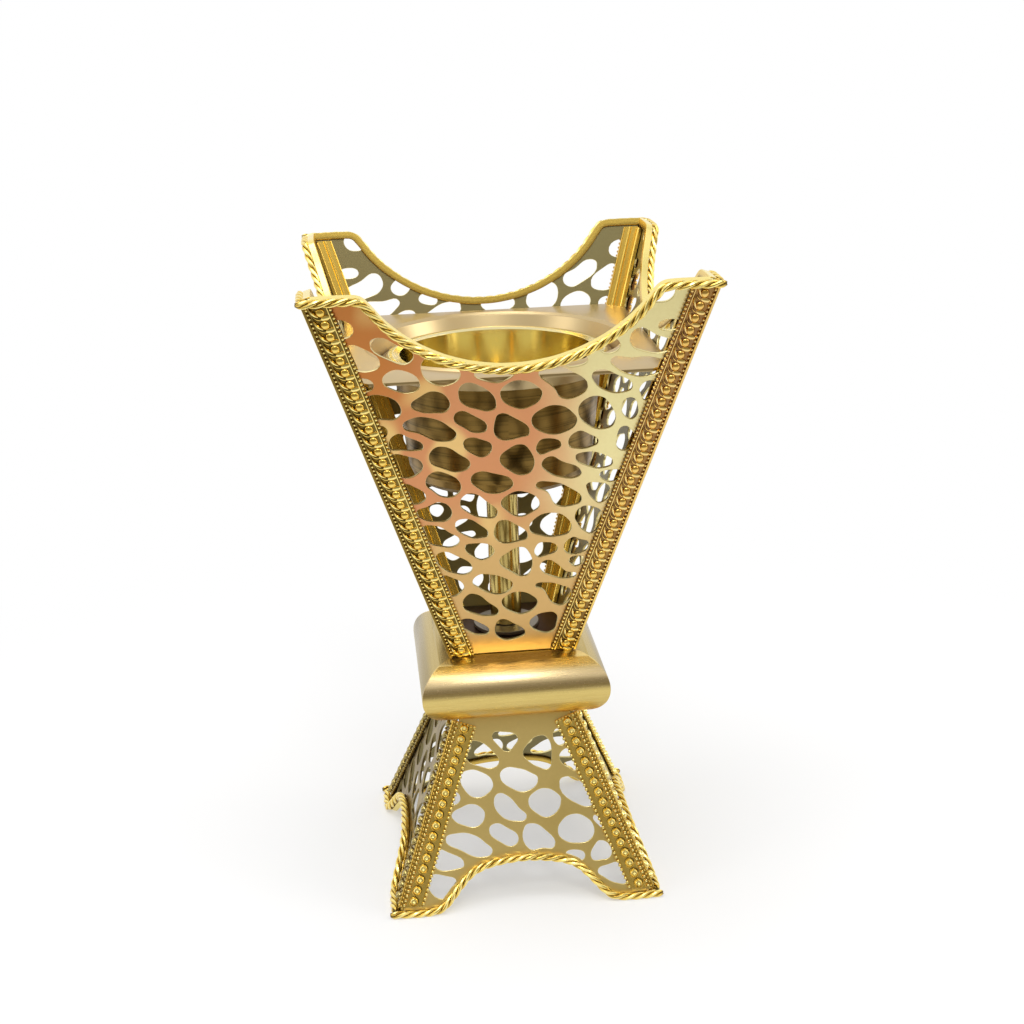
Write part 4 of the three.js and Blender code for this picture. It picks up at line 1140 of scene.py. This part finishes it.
def spin_open(bm, points, steps, cyclic=False, turn=0.0):
    """Turns a section round the burner's axis."""
    spin_in = Matrix.Rotation(turn, 4, "Z")
    verts = [bm.verts.new(spin_in @ point) for point in points]
    for first, second in zip(verts, verts[1:]):
        bm.edges.new((first, second))
    if cyclic:
        bm.edges.new((verts[-1], verts[0]))
    bmesh.ops.spin(
        bm, geom=bm.verts[:] + bm.edges[:], cent=(0, 0, 0), axis=(0, 0, 1), angle=2 * math.pi,
        steps=steps, use_merge=True,
    )
    bmesh.ops.remove_doubles(bm, verts=bm.verts[:], dist=MERGE)


def spun_mesh(points, name, cyclic, steps, eased, turn=0.0):
    """A section turned round the burner's axis, with its sharp edges eased."""
    bm = bmesh.new()
    spin_open(bm, points, steps, cyclic, turn)
    bmesh.ops.recalc_face_normals(bm, faces=bm.faces[:])
    if eased:
        ease_edges(bm, eased)
    return mesh_from(bm, name)


def turned_mesh(node, name, run=None):
    """A turned node again, with its rounds made smooth; run is its section if that is changed."""
    sizes = bpy.context.scene.mabkhara_turned
    run = run or section_of(node)[0]
    cyclic = run[0].x > MERGE
    straight = braced(run, cyclic, sizes.brace)
    points = smoothed(straight, cyclic, TURNED_CORNER, steps=6)
    return spun_mesh(points, name, cyclic, sizes.steps, sizes.eased)


def eased_mesh(node, name):
    """A flat-sided node again, with its edges eased."""
    bm = cad_copy(node)
    bmesh.ops.dissolve_limit(
        bm, angle_limit=STRAIGHT, verts=bm.verts[:], edges=bm.edges[:], delimit={"NORMAL"}
    )
    ease_edges(bm, bpy.context.scene.mabkhara_sheets.eased)
    return mesh_from(bm, name)


# Steps of the build
class MabkharaOperator:
    """What every step shares."""

    bl_options = {"REGISTER"}


class MABKHARA_OT_finishes(MabkharaOperator, bpy.types.Operator):
    """Make the metal finishes, and give the CAD nodes under the pieces theirs too"""

    bl_idname = "mabkhara.finishes"
    bl_label = "Finishes"

    def execute(self, context):
        made = make_finishes()
        for part in frame["record"]["subparts"]:
            for slot in frame["nodes"][part["node"]].material_slots:
                slot.material = made[part["material_slot"]]
        return {"FINISHED"}


class MABKHARA_OT_panels(MabkharaOperator, bpy.types.Operator):
    """Pierced panels of the body and the base"""

    bl_idname = "mabkhara.panels"
    bl_label = "Pierced panels"

    def execute(self, context):
        tuck = context.scene.mabkhara_sheets.tuck
        for part, at_top, shift in (("body", True, -tuck), ("base", False, tuck)):
            slope = Slope(f"{part}_panel_front")
            front = panel_mesh(slope, f"{part}_panel_front", at_top, shift, f"{part}_sheet")
            for k, face in enumerate(FACES):
                mesh = turned_copy(front, f"{part}_sheet_{face}", k)
                place_piece(mesh.name, mesh, f"{part}_sheet", f"{part}_panel_{face}")
        return {"FINISHED"}


class MABKHARA_OT_ropes(MabkharaOperator, bpy.types.Operator):
    """Twisted ropes and their bands along the free edges"""

    bl_idname = "mabkhara.ropes"
    bl_label = "Rope trim"

    def execute(self, context):
        trim = context.scene.mabkhara_trim
        for part, at_top, below in (("body", True, trim.body_drop), ("base", False, trim.base_gap)):
            front = f"{part}_panel_front"
            slope = Slope(front)
            for k, face in enumerate(FACES):
                node, name = f"{part}_rope_{face}", f"{part}_twist_{face}"
                half = self.half_width(node, k) - trim.strand_radius / 2
                line = rope_line(slope, front, at_top, below, half)
                inner = self.half_width(f"{part}_panel_{face}", k)
                mesh = trimmed_edge(slope, line, name, inner, 1 if at_top else -1)
                place_piece(name, turned_copy(mesh, name, k), "rope_trim", node)
        return {"FINISHED"}

    def half_width(self, node, quarters):
        """Half width of a CAD node along its face."""
        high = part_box(node)[1]
        return high.y if quarters % 2 else high.x


class MABKHARA_OT_strips(MabkharaOperator, bpy.types.Operator):
    """Beaded strips outside the corners"""

    bl_idname = "mabkhara.strips"
    bl_label = "Corner strips"

    def execute(self, context):
        for part, build in (("body", body_strip_mesh), ("base", base_strip_mesh)):
            slope = Slope(f"{part}_panel_front")
            for side, hook in (("left", 1), ("right", -1)):
                strip = build(slope, f"{part}_strip_front_right", f"{part}_beads_{side}", hook)
                for k, face in enumerate(FACES):
                    name = f"{part}_beads_{face}_{side}"
                    mesh = turned_copy(strip, name, k, mirrored=side == "left")
                    place_piece(name, mesh, "corner_strip", f"{part}_strip_{face}_{side}")
        return {"FINISHED"}


class MABKHARA_OT_angles(MabkharaOperator, bpy.types.Operator):
    """Smooth angles inside the corners"""

    bl_idname = "mabkhara.angles"
    bl_label = "Inner angles"

    def execute(self, context):
        slope = Slope("body_panel_front")
        leg = angle_leg_mesh(slope, "inner_angle_front_right", "angle_leg")
        for k, face in enumerate(FACES):
            after = FACES[(k + 1) % len(FACES)]
            name = f"corner_angle_{face}_{after}"
            legs = [turned_copy(leg, "leg", k), turned_copy(leg, "leg", k + 1, mirrored=True)]
            place_piece(name, joined_meshes(legs, name), "inner_trim", f"inner_angle_{face}_{after}")
        return {"FINISHED"}


class MABKHARA_OT_collar(MabkharaOperator, bpy.types.Operator):
    """Square pillow between body and base"""

    bl_idname = "mabkhara.collar"
    bl_label = "Collar"

    def execute(self, context):
        sizes = context.scene.mabkhara_turned
        run = max(section_of("collar"), key=len)
        points = smoothed(run, cyclic=True, corner=TURNED_CORNER, steps=5)
        corner = [Vector((p.x * math.sqrt(2), 0, p.z)) for p in points]
        mesh = spun_mesh(corner, "pillow", cyclic=True, steps=4, eased=sizes.mitre, turn=QUARTER_TURN / 2)
        place_piece("pillow", mesh, "collar_brass", "collar")
        return {"FINISHED"}


class MABKHARA_OT_tray(MabkharaOperator, bpy.types.Operator):
    """Tray with its raised ring and step"""

    bl_idname = "mabkhara.tray"
    bl_label = "Tray"

    def execute(self, context):
        sizes = context.scene.mabkhara_turned
        section = section_of("tray_plate")[0]
        reach = max(point.x for point in section)
        flat = reach * sizes.flat_share
        straight = braced(section, True, sizes.brace)
        smooth = smoothed(straight, cyclic=True, corner=TURNED_CORNER, steps=4)
        bm = bmesh.new()
        spin_open(bm, self.opened(smooth, flat), sizes.steps)
        ends = sorted(chains([e for e in bm.edges if e.is_boundary]), key=lambda run: run[0].co.z)
        outline = self.outline()
        rims = [self.fill_to_edge(bm, run, outline) for run in ends]
        bmesh.ops.bridge_loops(bm, edges=[edge for rim in rims for edge in rim])
        bmesh.ops.recalc_face_normals(bm, faces=bm.faces[:])
        ease_edges(bm, sizes.eased)
        place_piece("tray", mesh_from(bm, "tray"), "tray_brass", "tray_plate")
        return {"FINISHED"}

    def opened(self, run, flat):
        """A closed section without its outer end, from where it crosses a radius and back there."""
        outside = [i for i, point in enumerate(run) if point.x > flat]
        first = next(i for i in outside if (i - 1) % len(run) not in outside)
        turned = run[first:] + run[:first]
        kept = [point for point in turned if point.x <= flat]
        start, end = kept[-1].copy(), kept[0].copy()
        start.x = end.x = flat
        return [end, *kept, start]

    def outline(self):
        """Corners of the tray's square edge, which is cut off at its own corners, in order round it."""
        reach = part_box("tray_plate")[1].x - MERGE
        bm = cad_copy("tray_plate")
        at_edge = [v.co for v in bm.verts if max(abs(v.co.x), abs(v.co.y)) > reach]
        places = {(round(place.x, 6), round(place.y, 6)) for place in at_edge}
        bm.free()
        return sorted(places, key=lambda place: math.atan2(place[1], place[0]))

    def fill_to_edge(self, bm, run, outline):
        """Fills the flat between a circle and the tray's edge; gives the edge's lines."""
        corners = [bm.verts.new((x, y, run[0].co.z)) for x, y in outline]
        rim = [bm.edges.new((a, b)) for a, b in zip(corners, corners[1:] + corners[:1])]
        circle = [e for e in bm.edges if e.is_boundary and all(v in run for v in e.verts)]
        bmesh.ops.triangle_fill(bm, edges=circle + rim, use_beauty=True)
        return rim


class MABKHARA_OT_holder(MabkharaOperator, bpy.types.Operator):
    """Drum that the cup hangs in"""

    bl_idname = "mabkhara.holder"
    bl_label = "Cup holder"

    def execute(self, context):
        place_piece("drum", turned_mesh("cup_holder", "drum"), "holder_brass", "cup_holder")
        return {"FINISHED"}


class MABKHARA_OT_cup(MabkharaOperator, bpy.types.Operator):
    """Polished charcoal cup, which lifts out"""

    bl_idname = "mabkhara.cup"
    bl_label = "Charcoal cup"

    def execute(self, context):
        mesh = turned_mesh("charcoal_cup", "bowl", self.thin_rim(context))
        place_piece("bowl", mesh, "cup_brass", "charcoal_cup", body="cup")
        return {"FINISHED"}

    def thin_rim(self, context):
        """The cup's section, whose wall is drawn up to just below the rim's top."""
        run = section_of("charcoal_cup")[0]
        top = max(point.z for point in run)
        upper = [point for point in run if point.z > top - 3 * MM]
        min(upper, key=lambda point: point.x).z = top - context.scene.mabkhara_turned.rim_fall
        return run


class MABKHARA_OT_clamp(MabkharaOperator, bpy.types.Operator):
    """Stem, rod, nuts, washers and plates on the burner's axis"""

    bl_idname = "mabkhara.clamp"
    bl_label = "Stem and fasteners"

    def execute(self, context):
        slots = {part["node"]: part["material_slot"] for part in frame["record"]["subparts"]}
        turned = ("stem_tube", "stem_flange", "lower_washer", "upper_washer")
        flat = ("lower_nut", "upper_nut", "base_top_plate", "body_floor_plate")
        for kind, build, nodes in (("turned", turned_mesh, turned), ("eased", eased_mesh, flat)):
            for node in nodes:
                place_piece(f"{kind}_{node}", build(node, node), slots[node], node)
        place_piece("threaded_rod", self.rod_mesh(context), slots["tie_rod"], "tie_rod")
        return {"FINISHED"}

    def rod_mesh(self, context):
        """A rod with rings of thread."""
        sizes = context.scene.mabkhara_turned
        low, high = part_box("tie_rod")
        core, rise = high.x - sizes.thread_depth, high.z - low.z
        number = round(rise / sizes.thread) - 1
        points = [Vector((0, 0, low.z)), Vector((core, 0, low.z))]
        for i in range(number):
            for half, reach in ((0.5, high.x), (1.0, core)):
                points.append(Vector((reach, 0, low.z + rise * (i + half) / number)))
        points.append(Vector((0, 0, high.z)))
        return spun_mesh(points, "rod", cyclic=False, steps=24, eased=0)


class MABKHARA_OT_stage(MabkharaOperator, bpy.types.Operator):
    """Camera, pale floor and soft studio light"""

    bl_idname = "mabkhara.stage"
    bl_label = "Stage"

    def execute(self, context):
        self.add_camera(context)
        self.add_floor(context)
        self.add_world(context)
        self.add_lamps(context)
        context.scene.view_settings.view_transform = "Standard"
        return {"FINISHED"}

    def add_camera(self, context):
        """The photo's camera, from its angles, its distance and the point that it looks at."""
        look = context.scene.mabkhara_stage
        sin, cos = math.sin, math.cos
        azimuth, elevation = look.azimuth, look.elevation
        back = Vector((sin(azimuth) * cos(elevation), -cos(azimuth) * cos(elevation), sin(elevation)))
        right = Vector((cos(azimuth), sin(azimuth), 0))
        up = back.cross(right)
        tilted = right * cos(look.roll) + up * sin(look.roll)
        upward = back.cross(tilted)
        camera = bpy.data.objects.new("camera", bpy.data.cameras.new("camera"))
        camera.data.lens = look.lens
        camera.data.sensor_width = 36
        camera.data.clip_start = 0.01
        turn = Matrix((tilted, upward, back)).transposed().to_4x4()
        camera.matrix_world = Matrix.Translation(Vector(look.target) + back * look.distance) @ turn
        context.scene.collection.objects.link(camera)
        context.scene.camera = camera

    def add_floor(self, context):
        """A matt floor, plain white away from the burner; its front part is dim in mirror images."""
        look = context.scene.mabkhara_stage
        bm = bmesh.new()
        bmesh.ops.create_grid(bm, x_segments=1, y_segments=1, size=look.floor_half)
        mesh = bpy.data.meshes.new("floor")
        bm.to_mesh(mesh)
        bm.free()
        material = bpy.data.materials.new("floor")
        material.use_nodes = True
        nodes = Nodes(material.node_tree)
        material.node_tree.nodes.clear()
        x, y, _ = nodes.axes(nodes.object_place())
        far = nodes.between(nodes.distance_from_axis(x, y), 0.08, 0.35)
        camera, glossy, through = nodes.seen_rays()
        matt = nodes.node("ShaderNodeBsdfDiffuse", {}, {"Color": look.floor})
        mirrored = nodes.mix(nodes.between(y, -0.2, -0.45) * glossy, (1, 1, 1), look.dim_side)
        plain = nodes.node("ShaderNodeEmission", {}, {"Color": mirrored})
        white = (camera + glossy + through) * (far * (1 - look.glow) + look.glow)
        mixed = nodes.node("ShaderNodeMixShader", {}, {0: white, 1: matt, 2: plain})
        output = material.node_tree.nodes.new("ShaderNodeOutputMaterial")
        nodes.feed(output.inputs["Surface"], mixed)
        mesh.materials.append(material)
        floor = bpy.data.objects.new("floor", mesh)
        context.scene.collection.objects.link(floor)

    def add_world(self, context):
        """Soft light from all sides; mirror images are dim low down in front and near the top."""
        look = context.scene.mabkhara_stage
        world = bpy.data.worlds.new("studio")
        world.use_nodes = True
        nodes = Nodes(world.node_tree)
        background = world.node_tree.nodes["Background"]
        camera, glossy, through = nodes.seen_rays()
        _, y, z = nodes.axes(nodes.node("ShaderNodeTexCoord", {}, {}, "Generated"))
        dim = nodes.between(y, 0.0, -0.6) * nodes.between(z, 0.6, 0.3) + nodes.between(z, 0.84, 0.95)
        nodes.feed(background.inputs["Color"], nodes.mix(dim * glossy, (1, 1, 1), look.dim_side))
        seen = (camera + glossy + through) * (1 - look.soft_light)
        nodes.feed(background.inputs["Strength"], seen + look.soft_light)
        context.scene.world = world

    def add_lamps(self, context):
        """Area lamps that face the burner."""
        look = context.scene.mabkhara_stage
        middle = Vector(look.target)
        for name, (place, size, share) in LAMPS.items():
            lamp = bpy.data.objects.new(name, bpy.data.lights.new(name, "AREA"))
            lamp.data.size = size
            lamp.data.energy = look.lamp_power * share
            lamp.location = place
            lamp.rotation_euler = (Vector(place) - middle).to_track_quat("Z", "Y").to_euler()
            context.scene.collection.objects.link(lamp)


class MABKHARA_PT_panel(bpy.types.Panel):
    """Steps of the build, in order"""

    bl_idname = "MABKHARA_PT_panel"
    bl_label = "Mabkhara"
    bl_space_type = "VIEW_3D"
    bl_region_type = "UI"
    bl_category = "Mabkhara"

    def draw(self, context):
        for operator in OPERATORS:
            self.layout.operator(operator.bl_idname)


GROUPS = {
    "mabkhara_sheets": MabkharaSheets,
    "mabkhara_trim": MabkharaTrim,
    "mabkhara_strips": MabkharaStrips,
    "mabkhara_turned": MabkharaTurned,
    "mabkhara_colours": MabkharaColours,
    "mabkhara_stage": MabkharaStage,
}
OPERATORS = (
    MABKHARA_OT_stage,
    MABKHARA_OT_finishes,
    MABKHARA_OT_panels,
    MABKHARA_OT_ropes,
    MABKHARA_OT_strips,
    MABKHARA_OT_angles,
    MABKHARA_OT_collar,
    MABKHARA_OT_tray,
    MABKHARA_OT_holder,
    MABKHARA_OT_cup,
    MABKHARA_OT_clamp,
)


def register():
    for group in GROUPS.values():
        bpy.utils.register_class(group)
    for name, group in GROUPS.items():
        setattr(bpy.types.Scene, name, PointerProperty(type=group))
    for kind in (*OPERATORS, MABKHARA_PT_panel):
        bpy.utils.register_class(kind)


def unregister():
    for kind in (MABKHARA_PT_panel, *reversed(OPERATORS)):
        bpy.utils.unregister_class(kind)
    for name in GROUPS:
        delattr(bpy.types.Scene, name)
    for group in reversed(list(GROUPS.values())):
        bpy.utils.unregister_class(group)


def main():
    """Takes all steps in order."""
    register()
    for operator in OPERATORS:
        group, name = operator.bl_idname.split(".")
        getattr(getattr(bpy.ops, group), name)()


if __name__ == "__main__":
    main()
